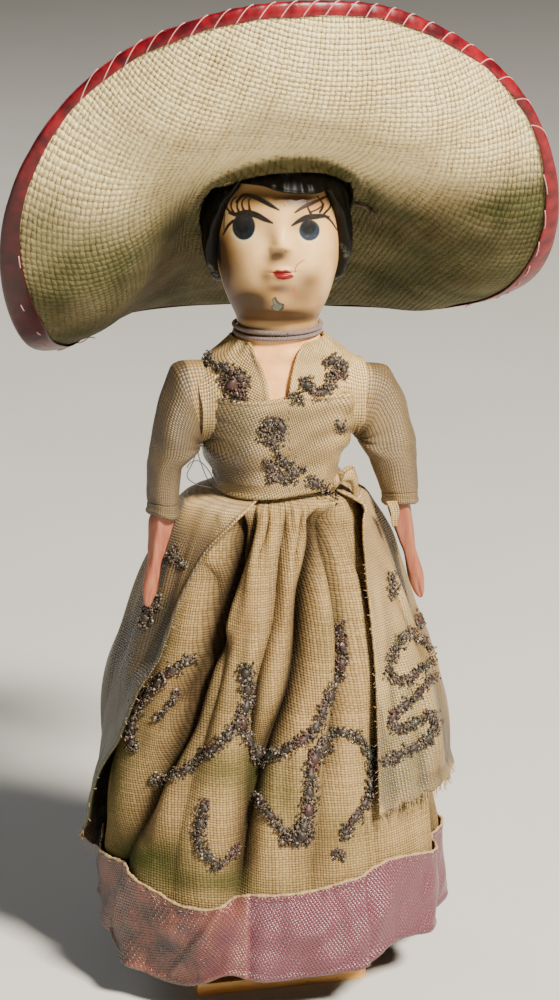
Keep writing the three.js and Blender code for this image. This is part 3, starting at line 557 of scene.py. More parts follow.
def gauze_material():
    s = Shader("gauze")
    height, tone = s.weave(0.56, 0.5, fill=0.5, swing=0.8, wander=0.2)
    thick = s.noise(0.8, 2, s.attribute("cloth", "Vector"))
    yarn = s.colour(s.times_plus(tone, 0.3, s.times(thick, 0.7)), "#7d633c", "#bda170")
    side = s.colour(s.ramp(height, 0.45, 0.95), "#4d3a1e", yarn)
    woven = s.colour(s.ramp(height, 0.0, 0.4), "#2a1c0c", side)
    warm = s.colour(s.ramp(s.noise(14, 3), 0.45, 0.75, 0.0, 0.4), woven, "#6f5130")
    # Painted shade: darker brown in the fold valleys and towards the hem.
    shaded_valleys = s.colour(s.times(s.attribute("valley_shade"), 0.9), warm, "#1f1408")
    green = s.times(s.attribute("stain"), s.ramp(s.noise(8, 3, seed=3), 0.2, 0.5))
    darkened = s.colour(s.times(green, 0.88), shaded_valleys, "#28350c")
    return s.finish(Base_Color=darkened, Roughness=0.9, Specular_IOR_Level=0.15,
                    Normal=s.bump(height, 0.26, 1.0))


def satin_material(name, light, dark, stain, age_shade_light, age_shade_dark, pitch=0.62, roughness=0.36,
                   amount=0.45, green_tone="#3d451b"):
    """Ribbed satin, darkened by the mesh's attributes: ageing mixed with painted shade, painted shade
    alone, and green stains.
    """
    s = Shader(name)
    height, tone = s.weave(pitch, 0.8 * pitch, fill=0.48, swing=0.6, wander=0.1)
    ribs = s.ramp(height, 0.48, 1.0)
    woven = s.colour(ribs, dark, light)
    varied = s.colour(s.times(tone, 0.2), woven, dark)
    old = s.ramp(s.noise(9, 4, seed=2), 0.4, 0.7)
    uneven = s.colour(s.times(old, amount), varied, stain)
    # Ageing mixed with painted shade darkens the satin towards the deep colours.
    aged_and_shaded = s.times(s.attribute("age_and_shade"), s.ramp(s.noise(12, 4, seed=11), 0.25, 0.7, 0.72, 1.0))
    deep = s.colour(ribs, age_shade_dark, age_shade_light)
    worn = s.colour(aged_and_shaded, uneven, deep)
    # Painted shade: the shade attribute darkens the satin to dark brown.
    darkened = s.colour(s.times(s.attribute("shade"), 0.93), worn, "#241908")
    green = s.times(s.attribute("stain"), s.ramp(s.noise(6, 3, seed=5), 0.3, 0.65))
    final = s.colour(s.times(green, 0.75), darkened, green_tone)
    creases = s.bump(s.noise(2.4, 3, seed=6), 0.25, 0.5)
    return s.finish(Base_Color=final, Roughness=roughness, Specular_IOR_Level=0.7,
                    Sheen_Weight=0.03, Normal=s.bump(height, 0.34, 1.0, creases))


def binding_material():
    s = Shader("binding")
    wave = s.noise(3, 3)
    tone = s.colour(s.ramp(wave, 0.3, 0.75), "#3f000a", "#860616")
    fibre = s.noise(0.25, 2, seed=3)
    worn = s.colour(s.ramp(fibre, 0.62, 0.8, 0.0, 0.3), tone, "#a3182b")
    creases = s.bump(wave, 0.3, 0.5)
    shaded = s.colour(s.times(s.attribute("shade"), 0.8), worn, "#1a0003")
    return s.finish(Base_Color=shaded, Roughness=0.38, Specular_IOR_Level=0.35, Coat_Weight=0.08,
                    Coat_Roughness=0.25, Normal=s.bump(fibre, 0.03, 0.5, creases))


def thread_material(name, light, dark):
    s = Shader(name)
    tone = s.colour(s.noise(0.5, 2), dark, light)
    varied = s.colour(s.times(s.attribute("tone"), 0.5), tone, light)
    return s.finish(Base_Color=varied, Roughness=0.7, Sheen_Weight=0.2,
                    Normal=s.bump(s.noise(0.12, 2), 0.05, 0.8))


def wood_material():
    s = Shader("board_wood")
    x, y, z = s.parts(s.place())
    stretched = s.vector(s.times(x, 0.12), y, z)
    rings = s.noise(1.4, 4, stretched)
    grain = s.colour(s.ramp(rings, 0.3, 0.7), "#d28a3e", "#f0bd70")
    specks = s.ramp(s.noise(0.8, 3, seed=5), 0.64, 0.72)
    marked = s.colour(s.times(specks, 0.75), grain, "#3b1d0c")
    edge = s.ramp(z, 0.35, 0.0)
    final = s.colour(s.times(edge, 0.7), marked, "#cfa665")
    return s.finish(Base_Color=final, Roughness=0.6, Normal=s.bump(rings, 0.15, 0.6))


def painted_material(name, light, dark):
    s = Shader(name)
    patches = s.ramp(s.noise(5, 4), 0.35, 0.7)
    tone = s.colour(patches, light, dark)
    chips = s.ramp(s.noise(1.1, 3, seed=9), 0.7, 0.76)
    final = s.colour(s.times(chips, 0.6), tone, "#5b3a20")
    return s.finish(Base_Color=final, Roughness=0.4, Normal=s.bump(s.noise(0.9, 3, seed=2), 0.06, 0.5))


def arm_material():
    s = Shader("arm_paint")
    x, y, z = s.parts(s.place())
    long_grain = s.vector(x, y, s.times(z, 0.15))
    grain = s.noise(0.7, 3, long_grain)
    tone = s.colour(s.ramp(grain, 0.3, 0.75), "#8a4d36", "#a2644c")
    # Darker inner faces: partly darker paint, partly painted shade.
    inner = s.colour(s.attribute("inner"), tone, "#3a170c")
    return s.finish(Base_Color=inner, Roughness=0.42, Normal=s.bump(grain, 0.08, 0.6))


def nail_material():
    s = Shader("nail_steel")
    rust = s.ramp(s.noise(0.6, 3), 0.5, 0.7)
    tone = s.colour(rust, "#8c8c8c", "#6b3a1e")
    rough = s.times_plus(rust, 0.4, 0.35)
    return s.finish(Base_Color=tone, Metallic=0.9, Roughness=rough, Normal=s.bump(rust, 0.03, 0.6))


def head_material():
    """Painted face. The strokes come from the paint attribute, which the head's mesh holds."""
    s = Shader("face_paint")
    skin = s.colour(s.ramp(s.noise(7, 3), 0.3, 0.7), "#f0c78a", "#d9a766")
    # Painted shade: an attribute darkens the skin to brown where shade falls on the face.
    shade = s.colour(s.attribute("painted_face_shade"), skin, "#4a3114")
    paint = s.attribute("paint", "Color")
    cover = s.attribute("paint", "Alpha")
    worn = s.ramp(s.noise(0.5, 3, seed=4), 0.1, 0.5, 0.9, 1.0)
    final = s.colour(s.times(cover, worn), shade, paint)
    fine = s.bump(s.noise(1.5, 3, seed=3), 0.05, 0.4)
    return s.finish(Base_Color=final, Roughness=0.45, Specular_IOR_Level=0.35, Coat_Weight=0.08,
                    Coat_Roughness=0.3, Normal=s.bump(cover, 0.05, 0.6, fine))


def hair_material():
    s = Shader("hair_paint")
    brush = s.noise(1.6, 3)
    tone = s.colour(s.ramp(brush, 0.35, 0.8), "#030302", "#0b0907")
    scuff = s.times(s.attribute("scuff"), s.ramp(s.noise(0.7, 3, seed=2), 0.35, 0.7))
    final = s.colour(scuff, tone, "#5d6058")
    return s.finish(Base_Color=final, Roughness=0.45, Specular_IOR_Level=0.14, Coat_Weight=0.05,
                    Coat_Roughness=0.22, Normal=s.bump(brush, 0.08, 0.6))


def tinsel_material():
    s = Shader("tinsel")
    grain = s.attribute("tone")
    dark = s.colour(s.ramp(grain, 0.0, 0.85), "#1d150e", "#6b5c4d")
    rose = s.colour(s.ramp(s.noise(5, 2, seed=2), 0.52, 0.68, 0.0, 0.5), dark, "#542c2d")
    green = s.colour(s.ramp(s.noise(6, 2, seed=8), 0.55, 0.7, 0.0, 0.6), rose, "#20301f")
    # Painted glints: the palest flecks are lightened.
    painted_glint = s.ramp(grain, 0.93, 0.97)
    final = s.colour(painted_glint, green, "#a39a8c")
    return s.finish(Base_Color=final, Metallic=0.1, Roughness=0.55)


HAT = hat_material()
GAUZE = gauze_material()
SATIN = satin_material("satin", "#f0cd8c", "#84602f", "#94703f", "#846a3e", "#2c1e0b")
RIBBON = satin_material("ribbon_satin", "#7e4250", "#220e12", "#5a3236", "#3b2021", "#140908",
                        pitch=0.66, roughness=0.28, amount=0.3, green_tone="#7d4a3c")
SLEEVE = satin_material("sleeve_cloth", "#bd9d66", "#6a4f29", "#664b26", "#66522f", "#33240f",
                        pitch=0.54, roughness=0.5)
BINDING = binding_material()
CORD = thread_material("necklace_cord", "#7d6a64", "#3b3032")
STITCH = thread_material("stitch_thread", "#cf9c96", "#a0605c")
BROWN_THREAD = thread_material("brown_thread", "#5a3a20", "#2a180c")
BLACK_THREAD = thread_material("black_thread", "#3a3838", "#151416")
PALE_THREAD = thread_material("pale_thread", "#b39869", "#7a6139")
WOOD = wood_material()
TRUNK_PAINT = painted_material("trunk_paint", "#ffc784", "#e8a463")
LEG_PAINT = painted_material("leg_paint", "#c98a72", "#b57a60")
ARM_PAINT = arm_material()
NAIL = nail_material()
FACE = head_material()
HAIR = hair_material()
TINSEL = tinsel_material()

# Hat. The brim's twelve spokes go from the front round by the doll's left.

HAT_TILT = math.radians(43.75)
HAT_BACK = 1.4
HAT_CENTRE_Z = HEAD_BASE_Z + 0.657 * HEAD_HEIGHT
CROWN_OUTER = 16.8
CROWN_TOP_RADIUS = 11.0
CROWN_HEIGHT = 25.0
BRIM_INNER = 17.65
BRIM_WIDTH = 39.5
BRIM_HALF = 0.5
BRIM_RIM = BRIM_WIDTH + 0.15
HAIR_ROOM = 1.8
BEND_END = 41.0
SLOPE_AT_CROWN = [13, 2, -25, -40, -41, -34, -30, -33, -50, -53, -10, 12]
SLOPE_AT_RIM = [92, 96, 74, 22, 21, 19, 15, -1, -11, 16, 80, 86]
BEND_START = [-3, -3, -3, 16, 23, 26, 26, 23, 15, 4, -2, -3]


def brim_surface(phi, out):
    """Points of the brim's middle surface at angles and distances out along the cloth."""
    phi, out = np.broadcast_arrays(np.asarray(phi, float), np.asarray(out, float))
    inner = BRIM_INNER + np.minimum(out, 0)
    out = np.maximum(out, 0)
    slope_in = around(SLOPE_AT_CROWN, phi)
    slope_out = around(SLOPE_AT_RIM, phi)
    start = around(BEND_START, phi)
    steps = 28
    step = out / steps
    flat = np.zeros(phi.shape)
    rise = np.zeros(phi.shape)
    for k in range(steps):
        bend = ease(((k + 0.5) * step - start) / (BEND_END - start))
        slope = np.radians(slope_in + (slope_out - slope_in) * bend)
        flat = flat + np.cos(slope) * step
        rise = rise + np.sin(slope) * step
    y = HAT_BACK - (inner * math.cos(HAT_TILT) + flat) * np.cos(phi)
    z = HAT_CENTRE_Z + inner * np.cos(phi) * math.sin(HAT_TILT) + rise
    return stack((inner + flat) * np.sin(phi), y, z)


def brim_point(phi, out, distance):
    """A point off the brim. A positive distance is on the side of the face."""
    small = 1e-3
    along_phi = brim_surface(phi + small, out) - brim_surface(phi - small, out)
    along_out = brim_surface(phi, np.asarray(out) + small) - brim_surface(phi, np.asarray(out) - small)
    normal = unit(np.cross(along_phi, along_out))
    return brim_surface(phi, out) + normal * np.asarray(distance)[..., None]


def off_hair(points, gap):
    """Radius from the head's axis at which places at those heights are that far off the hair."""
    straight = turned(points, -HEAD_TURN)
    angle = np.arctan2(straight[..., 0], -straight[..., 1])
    inside = HEAD_BASE_Z + (points[..., 2] - HEAD_BASE_Z) / (HEAD_HEIGHT + HAIR_ROOM) * HEAD_HEIGHT
    return head_oval(angle, inside) + HAIR_ROOM + gap


def hair_contact(phi):
    """Radius, in the plane of the crown's foot, at which the brim meets the hair."""
    contact = np.full(phi.shape, BRIM_INNER)
    for radius in np.linspace(BRIM_INNER, 9, 90):
        x = radius * np.sin(phi)
        y = HAT_BACK - radius * math.cos(HAT_TILT) * np.cos(phi)
        z = HAT_CENTRE_Z + radius * math.sin(HAT_TILT) * np.cos(phi)
        free = np.hypot(x, y) > off_hair(stack(x, y, z), 1.15)
        untouched = (contact > radius + 0.1) | (contact == BRIM_INNER)
        contact = np.where(free & untouched, radius, contact)
    return contact


# Pixel line across the brim: below it, painted shade darkens the brim, mixed with olive stains.
SHADE_LINE = [
    (0, 270), (40, 244), (80, 222), (120, 216), (150, 208), (200, 186), (230, 175), (288, 170), (345, 174),
    (400, 188), (440, 192), (480, 184), (515, 172), (559, 160),
]


def turn_lip_down(points, drop):
    """Lowers the brim's inner edge, and keeps it off the hair."""
    points = points.copy()
    points[..., 2] -= drop
    push = np.maximum(off_hair(points, 1.0) / np.hypot(points[..., 0], points[..., 1]), 1)
    points[..., :2] *= np.where(drop > 0, push, 1)[..., None]
    return points


def make_brim():
    """Brim with gentle dents, and its inner edge turned down at the front."""
    columns = 360
    rows = 70
    inner_rows = 6
    phi = circle(columns)[None, :]
    outer = np.linspace(0, BRIM_WIDTH, rows - inner_rows)[:, None]
    reach_in = BRIM_INNER - hair_contact(phi[0])
    inward = -np.linspace(1, 0, inner_rows + 1)[:-1, None] * reach_in[None, :]
    phi, out = np.broadcast_arrays(phi, np.concatenate([inward, outer + 0 * phi]))
    plain = brim_surface(phi, out)
    share = np.maximum(out, 0) / BRIM_WIDTH
    dents = 0.35 * ripple(plain, 16, 3) * ease(share * 3) * ease((1.12 - share) * 3)
    points = brim_point(phi, out, dents)
    run = np.linalg.norm(np.diff(points, axis=0), axis=-1)
    run = np.concatenate([np.zeros((1, columns)), np.cumsum(run, axis=0)])
    reach = BRIM_INNER + run - run[inner_rows]
    across = reach * np.sin(phi)
    along = -reach * np.cos(phi)
    weave_turn = 0.09
    cloth = stack(across + weave_turn * along, along - weave_turn * across, 0)
    pixels = to_pixels(points)
    # Painted shade, mixed with olive stains: darker below the shade line, over the left side and on the
    # inner lip. The top face gets only a faint share.
    border = smooth_line(SHADE_LINE, 6)
    below = pixels[..., 1] - np.interp(pixels[..., 0], border[:, 0], border[:, 1])
    soft = 20 + 64 * ease((250 - pixels[..., 0]) / 120) + 36 * ease((pixels[..., 0] - 360) / 60)
    damp_and_shade = ease(0.5 + below / soft)
    painted_left_shade = 0.8 * ease((150 - pixels[..., 0]) / 110) * ease((pixels[..., 1] - 145) / 95)
    damp_and_shade = np.clip(np.maximum(damp_and_shade * 0.98, painted_left_shade), 0, 1)
    lip = -np.minimum(out, 0) / np.maximum(reach_in[None, :], 1e-6)
    damp_and_shade = np.maximum(damp_and_shade, 0.96 * ease(lip * 1.9))
    turned_down = turn_lip_down(points, 2.1 * lip ** 1.6 * ease((np.cos(phi) - 0.45) / 0.35))
    shift = turned_down - points
    under = brim_point(phi, out, dents + BRIM_HALF) + shift
    top = brim_point(phi, out, dents - BRIM_HALF) + shift
    shell = np.concatenate([under, top[::-1]])
    cloth = np.concatenate([cloth, cloth[::-1]])
    damp_and_shade = np.concatenate([damp_and_shade, 0.12 * damp_and_shade[::-1]])
    piece = make_piece("hat_brim_weave", shell, closed_faces(2 * rows, columns), HAT, "head",
                       ["hat_brim"], {"cloth": cloth, "damp_and_shade": damp_and_shade})


def make_crown():
    """Crown of the same weave, with a rounded top and a turned foot at the brim."""
    outline = [
        # [height, radius]
        [0.2, CROWN_OUTER + 0.5], [1.2, CROWN_OUTER], [0.35 * CROWN_HEIGHT, CROWN_OUTER],
        [0.7 * CROWN_HEIGHT, 0.5 * (CROWN_OUTER + CROWN_TOP_RADIUS)],
        [0.88 * CROWN_HEIGHT, CROWN_TOP_RADIUS], [0.98 * CROWN_HEIGHT, 0.6 * CROWN_TOP_RADIUS],
        [CROWN_HEIGHT, 0.02],
    ]
    heights = np.concatenate([np.linspace(0.2, 0.85 * CROWN_HEIGHT, 36),
                              CROWN_HEIGHT * (1 - 0.15 * np.linspace(1, 0, 24)[1:] ** 2)])
    columns = 160
    turn = circle(columns)
    radius = follow(outline, heights)[0]
    x = radius[:, None] * np.sin(turn)
    y = -radius[:, None] * np.cos(turn)
    z = heights[:, None]
    local = stack(x, y, z)
    lumps = 0.22 * ripple(local, 9, 12)
    outward = unit(stack(x, y, 0.4 * (z - 4)), 1e-9)
    local = local + outward * (lumps * ease((z + 1) / 5))[..., None]
    cosine, sine = math.cos(HAT_TILT), math.sin(HAT_TILT)
    points = stack(
        local[..., 0],
        HAT_BACK + local[..., 1] * cosine + local[..., 2] * sine,
        HAT_CENTRE_Z - local[..., 1] * sine + local[..., 2] * cosine,
    )
    run = np.concatenate([[0], np.cumsum(np.hypot(np.diff(radius), np.diff(heights)))])
    over = np.maximum(run[-1] - run, 0)[:, None]
    cloth = stack(over * np.sin(turn), -over * np.cos(turn), 0)
    piece = make_piece("hat_crown_weave", points, grid_faces(len(heights), columns, closed=True), HAT,
                       "head", ["hat_crown"], {"cloth": cloth, "damp_and_shade": 0.12})
    thicken(piece, 0.8, -1.0)


def make_binding():
    """Red tape folded over the rim, drawn in at its whip stitches."""
    columns = 480
    phi = circle(columns)
    front = ease(1.6 * np.cos(phi) + 0.2)
    under = 5 + (1.7 - 5) * front
    inside = 0.56
    rim = BRIM_RIM
    pitch = TAU / 64
    pull = hump((phi % pitch) / pitch, 0.5, 0.16) * front
    section = []
    wave = 0.12 * np.sin(9 * phi) + 0.1 * np.sin(23 * phi + 1)
    for k in np.linspace(0, 1, 5):
        bulge = inside + 0.16 + 0.1 * math.sin(math.pi * k)
        section.append((mix(rim - under + wave, rim - 0.2, k), bulge))
    for k in np.linspace(0, 1, 7)[1:-1]:
        angle = math.pi * k
        section.append((rim + 0.75 * math.sin(angle) + 0 * phi, 0.72 * math.cos(angle)))
    for k in np.linspace(0, 1, 5):
        bulge = inside + 0.16 + 0.1 * math.sin(math.pi * k)
        section.append((mix(rim - 0.2, rim - 5 + wave, k), -bulge))
    rows = []
    for out, distance in section:
        drawn = np.where(np.abs(distance) > 0.5, np.sign(distance) * -0.16, 0) * pull
        rows.append(brim_point(phi, out - 0.12 * pull, distance + drawn + 0 * phi))
    rows = np.array(rows)
    pixels = to_pixels(rows)
    shade = ease((115 - pixels[..., 0]) / 90) * ease((pixels[..., 1] - 110) / 130)
    piece = make_piece("brim_binding_tape", rows, grid_faces(len(rows), columns, closed=True),
                       BINDING, "head", ["brim_binding"], {"shade": shade})
    thicken(piece, 0.28)
    subdivide = piece.modifiers.new("smooth", "SUBSURF")
    subdivide.levels = 1
    subdivide.render_levels = 1


def make_binding_stitches():
    """Whip stitches over the rim in front, and running stitches on both sides."""
    batch = Batch()
    rim = BRIM_RIM
    for degrees in np.arange(-60.8, 66, 5.6):
        steps = np.linspace(0, 1, 9)
        phi = math.radians(degrees) + math.radians(4.6) * steps
        out = mix(rim - 1.9, rim + 0.9, np.sin(steps * math.pi / 2))
        distance = mix(0.95, 0.1, steps ** 2)
        batch.add_tube(brim_point(phi, out, distance), 0.1, 6, random.random())
    for degrees in np.concatenate([np.arange(70, 112, 5.4), np.arange(-112, -76, 9.5)]):
        start = math.radians(degrees)
        length = math.radians(3.2 if degrees > 0 else 1.7)
        steps = np.linspace(0, 1, 7)
        phi = start + length * steps
        out = rim - 3.1 + 0.5 * math.sin(degrees) + 0.3 * steps
        distance = 0.86 + 0.16 * np.sin(steps * math.pi)
        batch.add_tube(brim_point(phi, out, distance), 0.12, 6, random.random())
    for line in (
        [(-118, 3.4, 0.9), (-121.5, 2.6, 1.1), (-125, 3.2, 1.0), (-128.5, 4.3, 0.9)],
        [(-129, 4.2, 0.9), (-131, 5.2, 1.2), (-133, 6.2, 1.0), (-134, 7.1, 1.6)],
        [(112, 3.0, 0.9), (114, 3.6, 1.1), (116, 3.0, 1.4), (117.5, 2.2, 2.0)],
    ):
        points = [brim_point(math.radians(p), rim - inward, off) for p, inward, off in line]
        batch.add_tube(smooth_line(points, 5), 0.11, 6, 0.6)
    batch.piece("binding_stitches", STITCH, "binding", "head")


def make_tie():
    """Knotted brown thread on the underside of the brim, beside the hair."""
    batch = Batch()
    path = [(88, -2.6, 0.9), (89, -1.2, 1.3), (91, 0.4, 1.2), (91, 1.6, 1.0)]
    line = [brim_point(math.radians(p), out, off) for p, out, off in path]
    batch.add_tube(smooth_line(line, 6), 0.3, 8, 0.3, twist=0.5)
    knot = brim_point(math.radians(91), 1.7, 1.15)
    turn = np.linspace(0, 2.4 * TAU, 40)
    winding = knot + stack(0.18 * turn / TAU - 0.2, 0.45 * np.cos(turn), 0.45 * np.sin(turn))
    batch.add_tube(winding, 0.2, 6, 0.5)
    for degrees, length, lift in ((86, 1.5, 0.5), (89, 1.8, 0.2), (93, 1.7, 0.3), (96, 1.3, 0.7)):
        end = brim_point(math.radians(degrees), 1.7 + length, 1.0 + lift)
        middle = 0.5 * (knot + end) + np.array([0, -0.2, 0.15])
        batch.add_tube(smooth_line([knot, middle, end], 5), np.linspace(0.16, 0.07, 11), 5, 0.4)
    batch.piece("hat_tie_thread", BROWN_THREAD, "brown_thread", "head", ["hat_tie"])


# Head and hair. Rows are shares of the head's height and of its half-sizes.

HEAD_HALF_WIDTH = 11.6
HEAD_FRONT = 12.2
HEAD_BACK = 11.9
HAIR_THICKNESS = 1.5
HEAD_ROWS = [
    [0, 0.65, 0.6, 0.62],
    [0.06, 0.67, 0.63, 0.63],
    [0.12, 0.74, 0.8, 0.65],
    [0.18, 0.82, 0.92, 0.7],
    [0.26, 0.9, 0.97, 0.77],
    [0.38, 0.98, 0.99, 0.86],
    [0.52, 1, 1, 0.97],
    [0.66, 0.98, 0.99, 1],
    [0.78, 0.87, 0.88, 0.9],
    [0.88, 0.68, 0.69, 0.7],
    [0.95, 0.46, 0.46, 0.46],
    [0.985, 0.25, 0.25, 0.25],
    [1, 0.001, 0.001, 0.001],
]
HAIR_EDGE = [27.0, 27.6, 10.6, 9.0, 6.5, 9.0, 10.2, 27.6]
FRINGE = [
    (222, 186), (228, 183), (241, 181), (261.4, 185), (279.3, 190.2), (298.4, 192.7), (315, 191.5),
    (327.8, 186), (334, 184), (342, 186),
]


def turned(points, angle=HEAD_TURN):
    cosine, sine = math.cos(angle), math.sin(angle)
    x = points[..., 0] * cosine - points[..., 1] * sine
    y = points[..., 0] * sine + points[..., 1] * cosine
    return stack(x, y, points[..., 2])


def head_oval(phi, z):
    width, front, back = follow(HEAD_ROWS, (z - HEAD_BASE_Z) / HEAD_HEIGHT)
    return oval_radius(phi, width * HEAD_HALF_WIDTH, front * HEAD_FRONT, back * HEAD_BACK, 2.15)


def head_radius(phi, z):
    """The oval with its nose, lips, chin, cheeks and the shallow places of the eyes."""
    side = angle_between(phi, 0) * HEAD_FRONT
    up = z - HEAD_BASE_Z

    def mound(height, x, at, wide, tall):
        return height * np.exp(-((side - x) / wide) ** 2 - ((up - at) / tall) ** 2)

    def pair(height, x, at, wide, tall):
        return mound(height, x, at, wide, tall) + mound(height, -x, at, wide, tall)

    below = np.where(up < 18.4, 1.15, 2.3)
    nose = 1.45 * np.exp(-np.abs(side / (1.35 + 0.05 * (up - 18))) ** 2.2 - ((up - 18.4) / below) ** 2)
    bridge = mound(0.4, 0, 21.0, 1.5, 2.4)
    nostrils = pair(0.45, 1.3, 17.7, 0.8, 0.7)
    lips = mound(0.55, 0.2, 13.7, 2.0, 0.55) + mound(0.6, 0.2, 12.6, 1.7, 0.6)
    dip = mound(-0.35, 0.2, 13.15, 2.2, 0.2) + mound(-0.3, 0, 10.9, 2.4, 0.9)
    chin = mound(0.8, 0, 7.6, 3.6, 2.2)
    cheeks = pair(0.35, 6, 15, 3.4, 3.6)
    sockets = pair(-0.55, 6.2, 21.4, 3.2, 2.4)
    return head_oval(phi, z) + nose + bridge + nostrils + lips + dip + chin + cheeks + sockets


# Painted strokes of the face: pixel line with half-widths, and colour.
BLACK_PAINT = "#0a0706"
BROWN_PAINT = "#2a1009"
FACE_STROKES = [
    ([(236.5, 202, 1.2), (243, 195.5, 1.7), (252, 196, 2.2), (262, 200.5, 2.4), (271, 205.5, 2.2),
      (279, 210, 0.9)], BLACK_PAINT),
    ([(295, 212.5, 0.9), (303, 207, 1.9), (311, 203.5, 2.2), (320, 199.5, 1.6), (327, 196.5, 1.1),
      (332, 198, 0.8)], BROWN_PAINT),
    ([(229, 213, 1.0), (236, 214.5, 2.6), (246, 213, 3.4), (256, 215, 3.2), (264, 219, 2.6),
      (272.5, 223, 1.0)], BLACK_PAINT),
    ([(292, 225.5, 1.0), (299, 221, 2.2), (307, 217.5, 3.0), (316, 216.5, 3.0), (323, 216, 2.4),
      (329, 217, 1.0)], BLACK_PAINT),
    ([(239, 212, 1.5), (237, 206, 1.0), (239, 200, 0.8), (243, 196, 0.7)], BROWN_PAINT),
    ([(244, 211, 1.5), (242, 205, 1.0), (243, 200, 0.8), (247, 197, 0.7)], BROWN_PAINT),
    ([(250, 211, 1.6), (249, 205, 1.1), (249, 200, 0.8), (251, 197, 0.7)], BROWN_PAINT),
    ([(232, 213, 1.2), (227.5, 209, 1.0), (226, 203, 0.8), (229, 198, 0.6)], BROWN_PAINT),
    ([(234, 213, 1.3), (231, 207, 0.9), (232.5, 200.5, 0.8), (237, 196.5, 0.6)], BROWN_PAINT),
    ([(233, 221, 1.6), (228, 226, 1.3), (223, 235, 0.7)], BLACK_PAINT),
    ([(225, 214, 0.5), (224, 222, 0.6), (224, 230, 0.4)], BROWN_PAINT),
    ([(312, 216, 1.5), (308, 208, 1.1), (306.5, 201, 0.7)], BROWN_PAINT),
    ([(320, 212, 1.4), (323, 205, 1.1), (317.5, 196.5, 0.8)], BROWN_PAINT),
    ([(324, 214, 1.3), (330, 207, 1.0), (332, 199, 0.8), (329, 194.5, 0.6)], BROWN_PAINT),
    ([(326, 217, 1.3), (331, 221, 1.0), (337, 230, 0.6)], BROWN_PAINT),
    ([(311, 212, 0.9), (318, 209, 0.9), (324, 204, 0.7)], BROWN_PAINT),
    ([(285, 203, 0.8), (285.5, 206, 0.5)], "#a07048"),
    ([(304.5, 260, 0.45), (299, 263, 0.5), (295.5, 268, 0.5), (295.5, 272, 0.4)], "#b0372a"),
    ([(294, 288, 0.35), (294.5, 293, 0.5), (295, 298, 0.35)], "#b0372a"),
]
EYES = [
    # Centre, half-width and half-height in pixels, iris colour, pupil colour.
    ((243.8, 226.5), (12.2, 14.4), "#0a1620", "#020304"),
    ((309.4, 230.3), (11.0, 11.2), "#162432", "#040609"),
]
LIPS = [
    (272.6, 272.6), (277, 269.6), (282, 270.6), (286, 269.4), (291, 272), (294, 277), (290.5, 278.6),
    (284, 280), (278, 279), (274.6, 276),
]
CHIN_CHIP = [
    (272.4, 299.5), (275.4, 297), (277, 300.6), (279.6, 303), (284, 304.4), (283.2, 308.6), (279, 311.6),
    (273.4, 310.4), (271.6, 307), (274, 304.4),
]


def inside_distance(places, outline):
    """Signed distance to a closed outline in pixels, negative inside."""
    line = np.asarray(list(outline) + [outline[0]], float)
    gap, _ = segment_distance(places, line)
    x, y = places[..., 0], places[..., 1]
    crossings = np.zeros(places.shape[:-1], int)
    for (x1, y1), (x2, y2) in zip(line[:-1], line[1:]):
        if y1 == y2:
            continue
        spans = (y1 <= y) != (y2 <= y)
        crossings += spans & (x < x1 + (y - y1) / (y2 - y1) * (x2 - x1))
    return np.where(crossings % 2 == 1, -gap, gap)


def paint_face(points, facing):
    """Colour and cover of the paint at points of the head."""
    pixels = to_pixels(points)
    colour = np.zeros((len(points), 3))
    cover = np.zeros(len(points))

    def lay(tone, amount):
        nonlocal colour, cover
        amount = np.clip(amount, 0, 1) * facing
        mixed = amount + cover * (1 - amount)
        share = (amount / np.maximum(mixed, 1e-6))[:, None]
        colour = colour * (1 - share) + np.asarray(rgb(tone)) * share
        cover = mixed

    for (cx, cy), (rx, ry), iris, pupil in EYES:
        away = np.hypot((pixels[:, 0] - cx) / rx, (pixels[:, 1] - cy) / ry)
        low = np.hypot((pixels[:, 0] - cx + 0.5) / (rx + 2.6), (pixels[:, 1] - cy - 1) / (ry + 2.2))
        lay("#c9c6b0", 0.5 * ease((1 - low) * 6) * ease((pixels[:, 1] - cy - 2) / 6))
        lay(iris, ease((1 - away) * 9))
        core = np.hypot((pixels[:, 0] - cx + 1) / (0.8 * rx), (pixels[:, 1] - cy + 3) / (0.8 * ry))
        lay(pupil, ease((1 - core) * 3))
    for line, tone in FACE_STROKES:
        smooth = smooth_line(line, 4)
        gap, share = segment_distance(pixels, smooth[:, :2])
        half = np.interp(share, np.linspace(0, 1, len(smooth)), smooth[:, 2])
        lay(tone, ease((half - gap) / 0.9 + 0.5))
    edge = inside_distance(pixels, LIPS)
    lay("#7f0d0d", ease(0.5 - edge / 0.9))
    off_mouth = np.abs(pixels[:, 1] - 275 - 0.06 * (pixels[:, 0] - 283))
    lay("#3d0505", 0.8 * ease(0.5 - (off_mouth - 0.4)) * ease(-edge / 1.5))
    edge = inside_distance(pixels, CHIN_CHIP)
    lay("#2c2a22", ease(0.9 - edge / 0.8))
    lay("#66675a", ease(-0.4 - edge / 0.9))
    lay("#2c241a", ease(1.2 - np.hypot(pixels[:, 0] - 286, pixels[:, 1] - 251.2)))
    return np.concatenate([colour, cover[:, None]], axis=1), pixels


